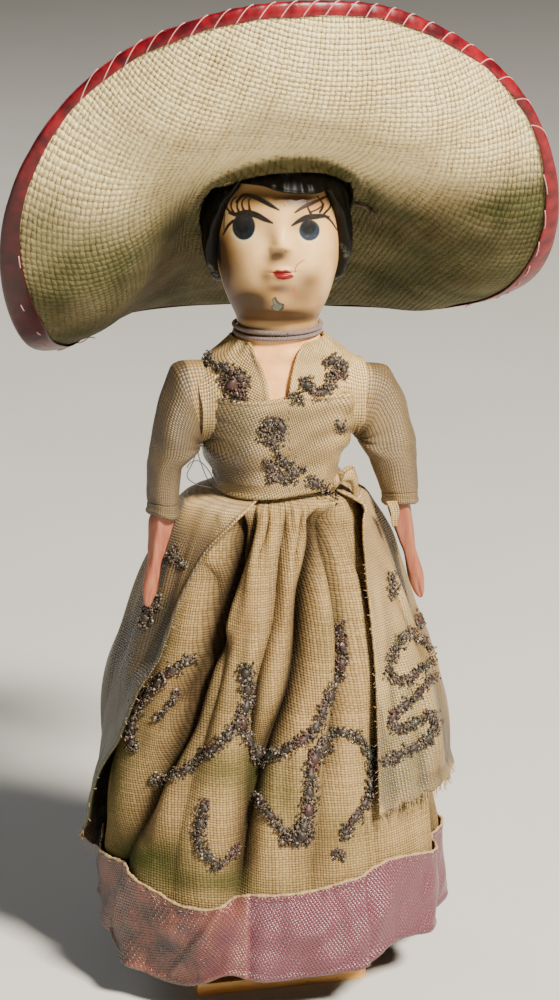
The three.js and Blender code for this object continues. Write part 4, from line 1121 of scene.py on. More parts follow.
# Outline of the skin in pixels, and the places of painted shade on the face: place, half-sizes, strength.
SKIN = [
    (228, 184), (241, 181.5), (261, 185.5), (279, 190.5), (298, 193), (315, 191.8), (327.8, 186.5),
    (333.5, 185), (337.5, 205), (338.2, 226), (338.6, 258), (334, 275), (328, 288), (324, 330), (234, 330),
    (227, 288), (221.5, 262), (219.5, 239), (219.5, 214), (223, 195),
]
FACE_SHADES = [
    (279, 256, 11, 6, 0.9), (309, 280, 13, 11, 0.55), (279, 288, 14, 6, 0.6), (252, 301, 18, 12, 0.75),
    (220, 258, 9, 42, 0.85), (337, 268, 5, 26, 0.35), (269, 231, 7, 14, 0.35), (302, 199, 30, 8, 0.9),
    (252, 196, 30, 9, 0.8), (232, 270, 10, 18, 0.3), (280, 316, 40, 6, 0.75), (266, 276, 8, 8, 0.6),
    (271, 262, 8, 7, 0.45), (300, 222, 12, 12, 0.3), (300, 296, 16, 10, 0.35),
]


def paint_hairline(paint, pixels, side, points):
    """Black paint of the hair on the head itself, outside the skin that the photograph shows."""
    edge = inside_distance(pixels, SKIN)
    high = ease((points[:, 2] - HEAD_BASE_Z - 12.5) / 1.5)
    black = ease(0.5 + edge / 0.9) * high * ease((side - 0.2) / 0.1 + (points[:, 2] > 150))
    black = np.maximum(black, high * ease((side - 1.4) / 0.1))
    paint = paint.copy()
    paint[:, :3] = mix(paint[:, :3], np.array(rgb("#0d0b0a")), black[:, None])
    paint[:, 3] = np.maximum(paint[:, 3], black)
    return paint


def make_head():
    front = np.linspace(-math.pi / 2, math.pi / 2, 300, endpoint=False)
    back = np.linspace(math.pi / 2, 1.5 * math.pi, 60, endpoint=False)
    phi = np.concatenate([front, back])
    shares = np.concatenate([np.linspace(0, 0.86, 300), 1 - 0.14 * np.linspace(1, 0, 26)[1:] ** 2])
    z = (HEAD_BASE_Z + shares * HEAD_HEIGHT)[:, None]
    radius = head_radius(phi[None, :], z)
    points = polar(radius, phi[None, :], z)
    points = points + 0.05 * ripple(points, 6, 5)[..., None] * unit(points)
    points = turned(points).reshape(-1, 3)
    side = np.broadcast_to(np.abs(angle_between(phi, 0)), radius.shape).ravel()
    in_front = ease((1.45 - side) / 0.2)
    paint, pixels = paint_face(points, in_front)
    chip = ease(-inside_distance(pixels, CHIN_CHIP) / 1.2) * ease((1.2 - side) / 0.2)
    away = unit(stack(points[:, 0], points[:, 1], 0), 1e-9)
    points = points - away * (0.22 * chip)[:, None]
    paint = paint_hairline(paint, pixels, side, points)
    # Painted shade: dark under the nose, round the mouth and chin, below the fringe and down the doll's
    # right side, and more towards the chin.
    painted_face_shade = spots(pixels, FACE_SHADES) + 0.12 + 0.4 * ease((pixels[:, 1] - 258) / 55)
    painted_face_shade += 0.3 * ease((262 - pixels[:, 0]) / 40) * ease((pixels[:, 1] - 225) / 30)
    painted_face_shade = np.clip(painted_face_shade * in_front, 0, 1)
    faces = grid_faces(len(shares), len(phi), closed=True).tolist()
    faces.append(list(range(len(phi)))[::-1])
    make_piece("head_painted", points, faces, FACE, "head", ["head"],
               {"paint": paint, "painted_face_shade": painted_face_shade})


def make_hair():
    """Raised glossy hair: a fringe, brushed locks, a lump over each ear and a nape."""
    columns = 220
    phi = circle(columns)[None, :]
    shares = np.concatenate([[0, 0, 0], np.linspace(0, 1, 90) ** 1.15])[:, None]
    edge = HEAD_BASE_Z + around(HAIR_EDGE, phi)
    fringe = height_on_line(lambda a, b: turned(polar(head_oval(a, b) + 1.2, a, b)), phi, FRINGE, 156.5)
    off_middle = np.abs(angle_between(phi, math.radians(2)))
    over_face = ease((math.radians(47) - off_middle) / math.radians(7))
    edge = mix(edge, np.clip(fringe, HEAD_BASE_Z + 25, HEAD_BASE_Z + 30), over_face)
    top = HEAD_TOP_Z + 0.3 + HAIR_THICKNESS
    z = edge + shares * (top - edge)
    lump = 0.5 * hump(z - HEAD_BASE_Z, 17, 5) * np.abs(np.sin(phi)) ** 5
    inside = HEAD_BASE_Z + (z - HEAD_BASE_Z) / (top - HEAD_BASE_Z) * HEAD_HEIGHT
    locks = 0.12 * np.sin(26 * phi + 0.16 * z) + 0.08 * np.sin(41 * phi - 0.2 * z + 1)
    depth = np.ones(shares.shape)
    depth[:3, 0] = -0.35, 0.25, 0.6
    rolled = 0.06 * hump(shares, 0.05, 0.06)
    thick = HAIR_THICKNESS * (1 + lump + rolled) * depth + (locks - 0.1) * (depth > 0.9)
    radius = head_oval(phi, inside) + 0.3 + thick
    radius[-1] = 0.01
    drop = np.where(depth < 0.9, -0.25 + 0.5 * (depth < 0), 0)
    points = polar(radius, phi, z + drop)
    uneven = 0.22 * ripple(points, 7, 21) * ease((1 - shares) * 4)
    points[..., 2] += np.where(shares < 0.02, uneven, uneven * 0.4)
    points = turned(points)
    pixels = to_pixels(points)
    scuff = np.zeros(pixels.shape[:-1])
    for line in ([(209, 266), (214, 272), (221, 279)], [(343, 246), (345, 252), (347, 257)],
                 [(212, 270), (217, 278)]):
        gap, _ = segment_distance(pixels, line)
        scuff = np.maximum(scuff, ease(1.4 - gap / 2.2))
    scuff = scuff * (points[..., 1] < 2)
    blob = spots(pixels, [(289, 170.5, 9, 3.5, 1)]) * (points[..., 1] < 2)
    points = points + np.array([0, -0.45, 0.1]) * blob[..., None]
    scuff = np.maximum(scuff, 0.9 * blob)
    make_piece("hair_painted", points, grid_faces(len(shares), columns, closed=True), HAIR,
               "head", ["hair"], {"scuff": scuff})


make_head()
make_hair()
make_brim()
make_crown()
make_binding()
make_binding_stitches()
make_tie()

# Body. The trunk, the skirts and the sleeves follow the same curves as the frame's solids.

CLEARANCE = 0.3
SATIN_THICKNESS = 0.7
SHOULDER_TO_NECK = NECK_Z - SHOULDER_Z
TRUNK_ROWS = [
    # [height, half-width, half-depth]
    [70, 10.4, 7.6],
    [83.05, 10.4, 7.6],
    [94.94, 9, 7.3],
    [99, 8.8, 7.2],
    [101.56, 8.8, 7.2],
    [108.28, 12.1, 8.2],
    [110.84, 12.7, 8.2],
    [113.4, 13.8, 8.2],
    [121.48, 13.8, 7.7],
    [124.216, 12.834, 7.4],
    [126.232, 10.2, 7.7],
    [127.816, 8.2, 7.4],
    [129.4, 7.4, 7.4],
]


def trunk_radius(phi, z):
    """Rounded oval of the trunk, which is squarer below the shoulders."""
    z = np.asarray(z, float)
    width, depth = follow(TRUNK_ROWS, z)
    squareness = 2.5 - 0.5 * ease((z - SHOULDER_Z) / (0.9 * SHOULDER_TO_NECK))
    return oval_radius(phi, width, depth, depth, squareness)


def off_trunk(phi, z, distance):
    """Points at a distance off the trunk's surface."""
    phi, z, distance = np.broadcast_arrays(np.asarray(phi, float), np.asarray(z, float), distance)
    small = 1e-3

    def at(angle, height):
        return polar(trunk_radius(angle, height), angle, height)

    normal = np.cross(at(phi + small, z) - at(phi - small, z), at(phi, z + small) - at(phi, z - small))
    normal = unit(normal, 1e-12)
    return at(phi, z) + normal * distance[..., None]


def phi_at_pixel(surface, z, x, low, high):
    """Angle in a range at which a surface, at a height, shows at a pixel column."""
    angles = np.linspace(low, high, 241)
    columns = to_pixels(surface(angles, np.full(angles.shape, float(z))))[:, 0]
    return float(angles[np.argmin(np.abs(columns - x))])


def edge_angles(surface, line, low, high):
    """Rows [height, angle] of an edge that the photograph shows along a pixel line."""
    rows = []
    smooth = smooth_line(line, 4)
    for x, y in smooth:
        heights = np.linspace(0, 130, 131)
        angle = 0.5 * (low + high)
        for _ in range(6):
            rows_y = to_pixels(surface(np.full(heights.shape, angle), heights))[:, 1]
            z = float(np.interp(-y, -rows_y, heights))
            angle = phi_at_pixel(surface, z, x, low, high)
        rows.append([z, angle])
    rows.sort()
    kept = [rows[0]]
    for row in rows[1:]:
        if row[0] > kept[-1][0] + 0.3:
            kept.append(row)
    return kept


def dress_node(name, material, bevel=0.0):
    """Gives a CAD node its material, and softens its edges."""
    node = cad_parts[name]
    for slot in node.material_slots:
        slot.material = material
    if bevel:
        modifier = node.modifiers.new("edges", "BEVEL")
        modifier.width = bevel * MM
        modifier.segments = 3
        modifier.limit_method = "ANGLE"
        modifier.angle_limit = math.radians(35)


def make_torso():
    rows = 200
    columns = 160
    phi = circle(columns)[None, :]
    z = np.linspace(TRUNK_ROWS[0][0], NECK_Z, rows)[:, None]
    points = polar(trunk_radius(phi, z), phi, z)
    points = points + 0.08 * ripple(points, 5, 31)[..., None] * np.array([0.7, 0.7, 0])
    make_piece("torso_painted", points, tube_faces(rows, columns), TRUNK_PAINT, "trunk",
               ["torso"])


dress_node("base_board", WOOD, 0.35)
dress_node("right_leg", LEG_PAINT)
dress_node("left_leg", LEG_PAINT)
dress_node("neck_dowel", WOOD)
for nail in ("right_leg_nail", "left_leg_nail", "right_shoulder_nail", "left_shoulder_nail"):
    dress_node(nail, NAIL, 0.12)
make_torso()

# Arms and sleeves. They are worked out for the +X side, and mirrored for the other.

ARM_SIDE = 4.4
ARM_TWIST = math.radians(22)
ARM_INNER_X = 15.4
PIVOT_X = 13.8 + 3.1 + 0.5 * ARM_SIDE - CLEARANCE
SLEEVE_SHARE = 0.5
ROOM_IN_SLEEVE = 0.85
RIGHT_HAND = (26.8, 37.0)
LEFT_HAND = (27.2, 39.2)


def forward_at(z):
    """How far an arm has come forward at a height, in y."""
    return -6.0 * np.clip((SHOULDER_Z - z) / 38, 0, 1)


def arm_axes(hand):
    start = np.array([PIVOT_X, 0, SHOULDER_Z])
    reach = np.array([hand[0] - PIVOT_X, -6.0, -hand[1]])
    length = np.linalg.norm(reach)
    along = reach / length
    across = np.array([1.0, 0, 0]) - along * along[0]
    across /= np.linalg.norm(across)
    return start, along, across, np.cross(along, across), length


ARM_ROWS = [
    # [share of the length, half-width, half-depth, twist, squareness]
    [-0.075, 1.3, 1.3, 0, 5],
    [-0.045, 2.2, 2.2, 0, 6],
    [0.12, 2.2, 2.2, 0, 6],
    [0.3, 2.2, 2.2, ARM_TWIST, 6],
    [0.55, 2.04, 2.04, ARM_TWIST, 6],
    [0.7, 1.5, 1.5, ARM_TWIST, 5],
    [0.77, 1.2, 1.2, ARM_TWIST, 4],
    [0.84, 1.42, 1.15, ARM_TWIST, 3],
    [0.9, 1.5, 1.0, ARM_TWIST, 2.6],
    [0.955, 1.1, 0.75, ARM_TWIST, 2.4],
    [0.99, 0.6, 0.42, ARM_TWIST, 2.2],
    [1, 0.2, 0.2, ARM_TWIST, 2],
]


def make_arm(side, hand, sign):
    """Square carved arm that thins at the wrist and ends in a simple pointed hand."""
    start, along, across, deep, length = arm_axes(hand)
    shares = np.concatenate([np.linspace(-0.075, 0.7, 60), np.linspace(0.7, 1, 46)[1:]])
    width, depth, twist, square = follow(ARM_ROWS, shares)
    columns = 56
    angle = (np.arange(columns) / columns * TAU)[None, :]
    power = 2 / square[:, None]
    a = np.sign(np.cos(angle)) * np.abs(np.cos(angle)) ** power * width[:, None]
    b = np.sign(np.sin(angle)) * np.abs(np.sin(angle)) ** power * depth[:, None]
    groove = 0.16 * hump(a, 0.1, 0.22) * ease((shares[:, None] - 0.86) * 20)
    b = b - np.sign(b) * groove * (b > 0)
    turn = twist[:, None]
    flat = a * np.cos(turn) - b * np.sin(turn)
    thick = a * np.sin(turn) + b * np.cos(turn)
    centre = start + along * (shares * length)[:, None]
    points = centre[:, None, :] + flat[..., None] * across + thick[..., None] * deep
    points = points + 0.05 * ripple(points, 3, 41)[..., None] * across
    points[..., 0] = np.maximum(points[..., 0], ARM_INNER_X)
    outer_line, inner_line = sleeve_outline(side, sign)
    least = np.interp(-points[..., 2], -inner_line[:, 1], inner_line[:, 0]) + ROOM_IN_SLEEVE
    most = np.interp(-points[..., 2], -outer_line[:, 1], outer_line[:, 0]) - ROOM_IN_SLEEVE
    covered = ease((points[..., 2] - 94) / 3)
    points[..., 0] = mix(points[..., 0], np.clip(points[..., 0], least, most), covered)
    points[..., 0] *= sign
    # Darker inner faces: partly darker paint, partly painted shade.
    inner = ease((-np.cos(angle) - 0.25) / 0.3) * ease((shares[:, None] - 0.3) * 8)
    inner = inner * ease((0.93 - shares[:, None]) * 14)
    make_piece(f"{side}_arm_carved", points, mirrored(tube_faces(len(shares), columns), sign), ARM_PAINT,
               f"{side}_arm", [f"{side}_arm"], {"inner": inner})


# Outlines of the sleeves in pixels: from the shoulder down the outside, and from the armpit down.
SLEEVE_OUTLINES = {
    "right": (
        [(179, 363.5), (172, 368), (165, 387), (157.7, 409), (151.7, 448.6), (149, 478), (148, 492),
         (149, 500)],
        [(194, 419), (187, 436), (182, 452), (178.5, 478), (177, 505)],
    ),
    "left": (
        [(379, 365), (389, 369.5), (397.5, 386), (404.7, 405), (414.6, 440.7), (417.5, 464), (418, 485),
         (417.5, 502)],
        [(361, 433), (369, 448.6), (377, 472), (383, 490), (385, 500)],
    ),
}
ARMHOLE_X = 14.95
ARMPIT_Z = 108.0


def sleeve_outline(side, sign):
    """Outline of a sleeve in millimetres, as places [x, z] for the +X side."""
    lines = []
    for line in SLEEVE_OUTLINES[side]:
        places = []
        for x, y in line:
            place = pixel_on_plane(x, y, forward_at(pixel_on_plane(x, y, 0)[2]))
            places.append([sign * place[0], place[2]])
        lines.append(smooth_line(places, 8))
    return lines


def sleeve_grid(side, sign, rows, columns):
    """A sleeve that turns from the upright armhole over the shoulder and down the arm."""
    outer, inner = sleeve_outline(side, sign)
    armpit = np.array([ARMHOLE_X - 0.3, min(inner[0, 1], SHOULDER_Z - 5.6) - 0.6])
    top = np.array([[ARMHOLE_X - 0.3, outer[0, 1] + 0.15]])
    shoulder = np.vstack([top, outer])
    away = shoulder - armpit
    turn = np.arctan2(away[:, 0], away[:, 1])
    reach_at = np.hypot(away[:, 0], away[:, 1])
    order = np.argsort(turn)
    angle = (np.arange(columns) / columns * TAU)[None, :]
    bend_rows = int(rows * 0.45)
    theta = np.linspace(0, math.radians(96), bend_rows)
    reach = np.interp(theta, turn[order], reach_at[order])
    half_depth = follow([[0, 5.3], [20, 5.5], [45, 5.7], [70, 5.4], [96, 4.9]], np.degrees(theta))[0]
    square = np.sign(np.sin(angle)) * np.abs(np.sin(angle)) ** 0.92
    middle = 0.6 + 0.5 * (reach[:, None] - 0.6) * (1 + np.cos(angle))
    bend = np.empty((bend_rows, columns, 3))
    bend[..., 0] = armpit[0] + middle * np.sin(theta)[:, None]
    bend[..., 1] = square * half_depth[:, None]
    bend[..., 2] = armpit[1] + middle * np.cos(theta)[:, None]
    bend[..., 1] += forward_at(bend[..., 2])
    first_out = bend[-1, 0]
    first_in = bend[-1, columns // 2]
    run = np.linspace(0, 1, rows - bend_rows + 1)[1:]
    cuff_z = 95.6 if sign < 0 else 95.0
    out_z = mix(first_out[2], cuff_z, run)
    in_z = mix(first_in[2], cuff_z - 0.4, run)
    out_x = np.interp(-out_z, -outer[:, 1], outer[:, 0])
    in_x = np.interp(-in_z, -inner[:, 1], inner[:, 0])
    in_x = mix(first_in[0], in_x, ease(run * 3))
    out_x = mix(first_out[0], out_x, ease(run * 4))
    swell = 0.5 * (1 + np.cos(angle))
    x = in_x[:, None] + (out_x - in_x)[:, None] * swell
    z = in_z[:, None] + (out_z - in_z)[:, None] * swell
    depth = mix(4.9, 3.4, ease(run * 1.4))[:, None]
    y = square * depth + forward_at(z)
    return np.concatenate([bend, stack(x, y, z)]), angle


def seam_x(z):
    """Where the satin of the shoulder ends and the sleeve begins."""
    return np.interp(z, [105, 108, 112, 117, 122], [13.6, 14.4, 15.9, 17.4, 17.9])


def make_sleeve(side, sign, seed):
    rows = 150
    columns = 132
    points, angle = sleeve_grid(side, sign, rows, columns)
    share = np.linspace(0, 1, rows)[:, None]
    outward = unit(points - points.mean(axis=1, keepdims=True), 1e-9)
    from_armpit = np.linalg.norm(points - np.array([ARMHOLE_X, 0, ARMPIT_Z]), axis=-1)
    rays = np.arctan2(points[..., 2] - ARMPIT_Z, points[..., 0] - ARMHOLE_X)
    creases = 0.35 * np.sin(9 * rays + 2.2 * sign) * np.exp(-from_armpit / 6)
    slack = 0.32 * ripple(points * np.array([1, 1, 0.5]), 6, seed)
    from_seam = seam_x(points[..., 2]) - points[..., 0]
    ridge = 0.42 * hump(from_seam, 0, 0.28) * ease((share - 0.1) * 12)
    cuff_roll = 0.25 * hump(share, 0.975, 0.018) - 0.2 * ease((share - 0.985) / 0.015)
    hem_line = -0.16 * hump(share, 0.9, 0.008)
    wave = 0.35 * np.sin(2 * angle + seed) * ease((share - 0.8) * 5)
    worked = (creases + slack) * ease(share * 12) + cuff_roll + hem_line + ridge
    satin = ease(from_seam / 0.25 + 0.5)
    # Painted shade, with ageing: the right sleeve is darker than the left, and both darken at their inner
    # and outer sides. The shoulder satin is darkened less.
    age_and_shade = (0.88 - 0.1 * (sign > 0)) * (1 - 0.45 * satin)
    outer_shade = 0.3 * ease((np.cos(angle) - 0.35) / 0.5)
    inner_shade = 0.35 * ease((-np.cos(angle) - 0.3) / 0.5)
    shade = 0.3 * (sign < 0) + outer_shade + inner_shade - 0.1 * np.sin(angle - 0.5)
    shade = np.clip(shade, 0, 1) * (1 - satin)
    points = points + outward * worked[..., None]
    points[..., 2] += wave
    cloth = stack(angle / TAU * 27, share * 34, 0)
    points[..., 0] *= sign
    faces = mirrored(grid_faces(rows, columns, closed=True), sign)
    piece = make_piece(f"{side}_sleeve_cloth", points, faces, SLEEVE, f"{side}_arm",
                       [f"{side}_sleeve"], {"cloth": cloth, "age_and_shade": age_and_shade, "shade": shade})
    thicken(piece, 0.4)


STRIP_LENGTH = 5.2


def make_hanging_strip():
    """A loose strip of the left sleeve's hem, which hangs below its cuff."""
    start, along, _, _, length = arm_axes(LEFT_HAND)
    cuff = start + along * (SLEEVE_SHARE * length)
    run = np.linspace(0, 1, 24)[:, None]
    side = np.linspace(-1, 1, 9)[None, :]
    width = 1.1 * (1 - 0.55 * run)
    base = cuff + np.array([-2.2, -3.7, 0.6])
    x = base[0] + side * width + 1.1 * run + 0.25 * np.sin(5 * run)
    y = base[1] - 0.35 * np.sin(3 * run) - 0.15 * side ** 2 + 0.2 * run
    z = base[2] - STRIP_LENGTH * run
    cloth = stack(side * width, STRIP_LENGTH * run, 0)
    piece = make_piece("left_sleeve_strip", stack(x, y, z), grid_faces(len(run), side.size), SLEEVE,
                       "left_arm", (), {"cloth": cloth})
    thicken(piece, 0.25)


make_arm("right", RIGHT_HAND, -1)
make_arm("left", LEFT_HAND, 1)
make_sleeve("right", -1, 3)
make_sleeve("left", 1, 5)
make_hanging_strip()

# Bodice: two satin straps that cross to a V, and a band round the chest over them.

STRAP_INNER = 1.5 * CLEARANCE


def make_strap(side, sign, opening):
    """Strap over one shoulder. The opening gives its front edge, as rows [height, angle]."""
    top_z = NECK_Z - 1.3
    low_z = SHOULDER_Z - 1.0
    rows = 110
    columns = 150
    up = np.linspace(0, 1, rows)[:, None]
    across = np.linspace(0, 1, columns)[None, :]
    z = low_z + up * (top_z - low_z)
    front = np.abs(follow(opening, z[:, 0])[0])[:, None]
    phi = front + across * (math.radians(178.5) - front)
    slack = 0.16 * ripple(stack(8 * phi, z, 0), 5, 50 + sign)
    edge_roll = 0.3 * hump(across, 0.012, 0.018)
    neck_pull = 0.2 * np.sin(22 * phi) * ease((up - 0.72) * 4)
    distance = STRAP_INNER + 0.3 + slack + edge_roll + neck_pull
    points = off_trunk(phi, z, np.maximum(distance, STRAP_INNER))
    points[..., 0] = np.minimum(points[..., 0], ARMHOLE_X - 0.65)
    points[..., 0] *= sign
    cloth = stack(14 * phi + 0.5 * z, z - 6 * phi, 0)
    # Painted shade, with ageing: the right strap darkens more than the left towards the side, and both
    # darken towards the back.
    age_and_shade = 0.15 + (0.6 if sign < 0 else 0.1) * ease(phi / 0.9) + 0.3 * ease(phi - 1.6)
    stain = ease((z - 119) / 6) * 0.35
    piece = make_piece(f"{side}_strap_satin", points, mirrored(grid_faces(rows, columns), sign), SATIN,
                       "trunk", [f"{side}_shoulder_strap"],
                       {"cloth": cloth, "age_and_shade": age_and_shade, "stain": stain})
    thicken(piece, 0.4)


YOKE_IN = 10.6
YOKE_OUT = 15.7
YOKE_ROWS = [
    # [distance out, half-depth, reach above the middle]
    [10.6, 6.75, 11.1], [11.6, 6.5, 10.4], [12.6, 6.35, 9.5], [13.6, 6.2, 8.5], [14.6, 6.1, 7.75],
    [15.7, 6.1, 7.3],
]


def make_yoke(side, sign):
    """Satin of the bodice that runs on over the shoulder to the seam of the sleeve."""
    rows = 40
    columns = 120
    x = np.linspace(YOKE_IN, YOKE_OUT, rows)[:, None]
    share = (x - YOKE_IN) / (YOKE_OUT - YOKE_IN)
    half_depth, above = (part[:, None] for part in follow(YOKE_ROWS, x[:, 0]))
    turn = circle(columns)[None, :]
    lean = 1.4 * (share - 1) * np.clip(-np.cos(turn), 0, 1)
    reach = np.where(np.cos(turn) > 0, above, 6.8)
    y = -np.sign(np.sin(turn)) * np.abs(np.sin(turn)) ** 0.9 * half_depth
    z = SHOULDER_Z + 0.4 + np.cos(turn) * reach
    x = x + lean + 0.9 * np.clip(np.cos(turn), 0, 1) * share
    points = stack(x, y, z)
    outward = points - np.array([0, 0, SHOULDER_Z])
    outward[..., 0] = 0
    outward = unit(outward)
    creases = 0.14 * ripple(points, 5, 55 + sign)
    roll = 0.16 * hump(np.arange(rows)[:, None], rows - 3, 2)
    points = points + outward * (creases + roll)[..., None]
    cloth = stack(6.5 * turn, points[..., 0], 0)
    # Painted shade, with ageing: the right yoke is darker than the left, and both darken on their
    # undersides.
    age_and_shade = 0.35 + (0.45 if sign < 0 else 0) + 0.5 * np.clip(-np.cos(turn), 0, 1)
    points[..., 0] *= sign
    faces = mirrored(grid_faces(rows, columns, closed=True), sign)
    piece = make_piece(f"{side}_yoke_satin", points, faces, SATIN, "trunk", (),
                       {"cloth": cloth, "age_and_shade": np.clip(age_and_shade, 0, 1), "stain": 0.2})
    thicken(piece, 0.3)


def chest_surface(phi, z):
    return off_trunk(phi, z, 0.9)


# Pixel lines of the straps' front edges, which make the V of the neckline.
RIGHT_LINE = [(247, 336), (250.5, 344), (264.4, 375.5), (270, 403)]
LEFT_LINE = [(306, 340), (298, 354), (292, 373.5), (289, 393), (288, 403)]
RIGHT_OPENING = edge_angles(chest_surface, RIGHT_LINE, math.radians(-60), math.radians(30))
LEFT_OPENING = edge_angles(chest_surface, LEFT_LINE, math.radians(-30), math.radians(60))
make_strap("right", -1, RIGHT_OPENING)
make_strap("left", 1, LEFT_OPENING)
make_yoke("right", -1)
make_yoke("left", 1)

OVERSKIRT_OUT = 2.5 * CLEARANCE + 0.8
WRAP_BOTTOM_Z = WAIST_Z + CLEARANCE
WRAP_WAIST_OUT = OVERSKIRT_OUT + SATIN_THICKNESS + CLEARANCE
WRAP_CHEST_OUT = STRAP_INNER + 0.72
WRAP_HEIGHT = 19.2
WRAP_HEIGHT_UNDER_ARM = 10.5


def wrap_place(phi, share):
    """Height and distance off the trunk of places on the band, which is lower under the arms."""
    beside_arm = ease((0.9925 - np.abs(np.sin(phi))) / 0.008)
    top = WAIST_Z + mix(WRAP_HEIGHT_UNDER_ARM, WRAP_HEIGHT, beside_arm)
    top = top + 0.35 * np.sin(3 * phi + 0.6) * beside_arm
    z = WRAP_BOTTOM_Z + share * (top - WRAP_BOTTOM_Z) + 0.4 * np.sin(2 * phi) * (1 - share)
    rise = ease((z - WAIST_Z - 2.6) / 4)
    return z, WRAP_WAIST_OUT + (WRAP_CHEST_OUT - WRAP_WAIST_OUT) * rise + 0.3


def make_wrap():
    """Satin band round the chest. It is pulled tight, with small creases at the waist and sides."""
    rows = 130
    columns = 400
    phi = circle(columns)[None, :]
    share = np.linspace(0, 1, rows)[:, None]
    z, out = wrap_place(phi, share)
    creases = 0.16 * ripple(polar(10, phi, z) * np.array([1, 1, 2.2]), 6, 61)
    beside = hump(np.abs(np.sin(phi)), 0.93, 0.12)
    tucks = 0.28 * np.sin(1.7 * z + 5 * phi) * beside
    tucks = tucks * ease((share - 0.1) * 3) * ease((1 - share) * 3)
    top_roll = 0.26 * hump(share, 0.972, 0.014)
    bottom_roll = 0.25 * hump(share, 0.02, 0.02)
    hollow = 1.5 * ease((-np.sin(phi) - 0.25) / 0.6) * hump(z, 106, 4.2)
    curl = 1.1 * hump(angle_between(phi, math.radians(62)), 0, 0.11) * ease((share - 0.72) * 4.5)
    out = out + hollow + np.maximum(creases + tucks, -0.15) + top_roll + bottom_roll + curl
    points = off_trunk(phi, z, out)
    cloth = stack(12.4 * phi + 0.45 * z, z - 4 * phi, 0)
    # Painted shade: darker on the doll's right and in the hollow there, and less darkened along the top
    # edge.
    dark_side = ease((-np.sin(phi + 0.2) - 0.2) / 0.5)
    age_and_shade = 0.92 - 0.4 * ease((share - 0.86) / 0.1)
    shade = np.clip(0.75 * dark_side * ease(share * 4 + 0.2) + 0.12 * hollow, 0, 1)
    piece = make_piece("bodice_wrap_satin", points, grid_faces(rows, columns, closed=True), SATIN,
                       "trunk", ["bodice_wrap"],
                       {"cloth": cloth, "age_and_shade": age_and_shade, "shade": shade, "stain": 0.15})
    thicken(piece, 0.45)


make_wrap()

# Necklace: two strands of two-ply cord, one above the other.


def make_necklace(name, z, out, seed):
    batch = Batch()
    angle = circle(420)
    drop = 0.1 * np.sin(angle + seed) + 0.06 * np.sin(2 * angle + 2 * seed)
    for ply in range(2):
        turn = angle * 46 + ply * math.pi
        centre = polar(out + 0.2 * np.cos(turn), angle, z + drop + 0.2 * np.sin(turn))
        batch.add_ring(centre, 0.27, 8, 0.3 + 0.4 * ply)
    batch.piece(f"{name}_cord", CORD, "cord", "trunk", [name])


make_necklace("necklace_lower", NECK_Z - 0.1, 8.02, 0.4)
make_necklace("necklace_upper", NECK_Z + 1.02, 8.2, 2.0)

# Gauze skirt. Folds in front lie where the photograph shows them, and the others as in the frame.

SKIRT_TOP_Z = WAIST_Z + 2.6
GAUZE_THICKNESS = 0.8
BELL_ROWS = [
    # [share of the way down, width, front depth, back depth]
    [0, 0.4, 0.36, 0.36],
    [0.04, 0.47, 0.44, 0.42],
    [0.1, 0.54, 0.54, 0.52],
    [0.2, 0.63, 0.64, 0.62],
    [0.36, 0.77, 0.77, 0.75],
    [0.54, 0.91, 0.88, 0.87],
    [0.7, 0.99, 0.97, 0.95],
    [0.85, 1.01, 1, 0.99],
    [1, 1, 1, 1],
]
BACK_FOLDS = [
    (72 + k * 216 / 7, 72 + k * 216 / 7 + 4 * math.sin(2.4 * k), 2.3 + 0.7 * math.cos(1.7 * k), 11)
    for k in range(8)
]
FRONT_FOLDS = [
    (-34, -78, 2.2, 9), (-16, -36, 5.4, 10), (4, -13, 1.6, 8), (16, 8, 1.8, 7), (34, 42, 3.8, 12),
]
# Valleys between the folds in front: pixel line, depth and half-width in millimetres.
VALLEYS = [
    ([(233, 508), (231, 521), (226, 551), (213, 596), (204, 626), (195, 660), (182, 699), (170, 735),
      (153, 768), (138, 795), (124, 830), (112, 862), (104, 900)], 3.8, 2.3),
    ([(252, 506), (251, 519), (240, 555), (226, 585), (213, 616), (206, 650)], 2.2, 1.5),
    ([(199, 570), (198, 600), (190, 650), (172, 690), (150, 720)], 1.2, 1.8),
    ([(289, 506), (286, 530), (280, 560), (277, 582), (272, 626), (262, 660), (250, 700), (243, 760),
      (238, 830), (236, 900)], 1.5, 2.0),
    ([(322, 510), (321, 553), (307, 602), (299, 663), (288, 705), (268, 746), (252, 790), (240, 840),
      (230, 897)], 3.2, 2.4),
    ([(337, 506), (337, 530), (340, 565), (346, 600), (350, 640), (345, 700), (330, 780), (318, 850),
      (312, 892)], 1.8, 2.0),
    ([(352, 520), (362, 560), (375, 600), (384, 660), (384, 720), (380, 790), (376, 860)], 0.9, 2.6),
    ([(270, 508), (266, 530), (256, 560)], 1.0, 0.9),
    ([(306, 508), (304, 535), (298, 560)], 0.9, 0.9),
    ([(218, 640), (212, 690), (196, 740), (180, 790), (172, 850), (168, 900)], 1.3, 2.6),
]


def way_down(z, least=0.0, most=1.0):
    """Share of the way from the waist down to the hem."""
    return np.clip((WAIST_Z - z) / SKIRT_HEIGHT, least, most)


def gauze_envelope(phi, z):
    """Radius of the gauze skirt before it has folds."""
    z = np.asarray(z, float)
    width, front, back = follow(BELL_ROWS, (WAIST_Z - z) / SKIRT_HEIGHT)
    reach = np.where(np.sin(phi) < 0, 35.6, 33.0)
    bell = oval_radius(phi, width * reach, front * 27.5, back * 30)
    band = trunk_radius(phi, np.maximum(z, WAIST_Z)) + CLEARANCE + GAUZE_THICKNESS
    return band + (bell - band) * ease((WAIST_Z - z) / 2.5)


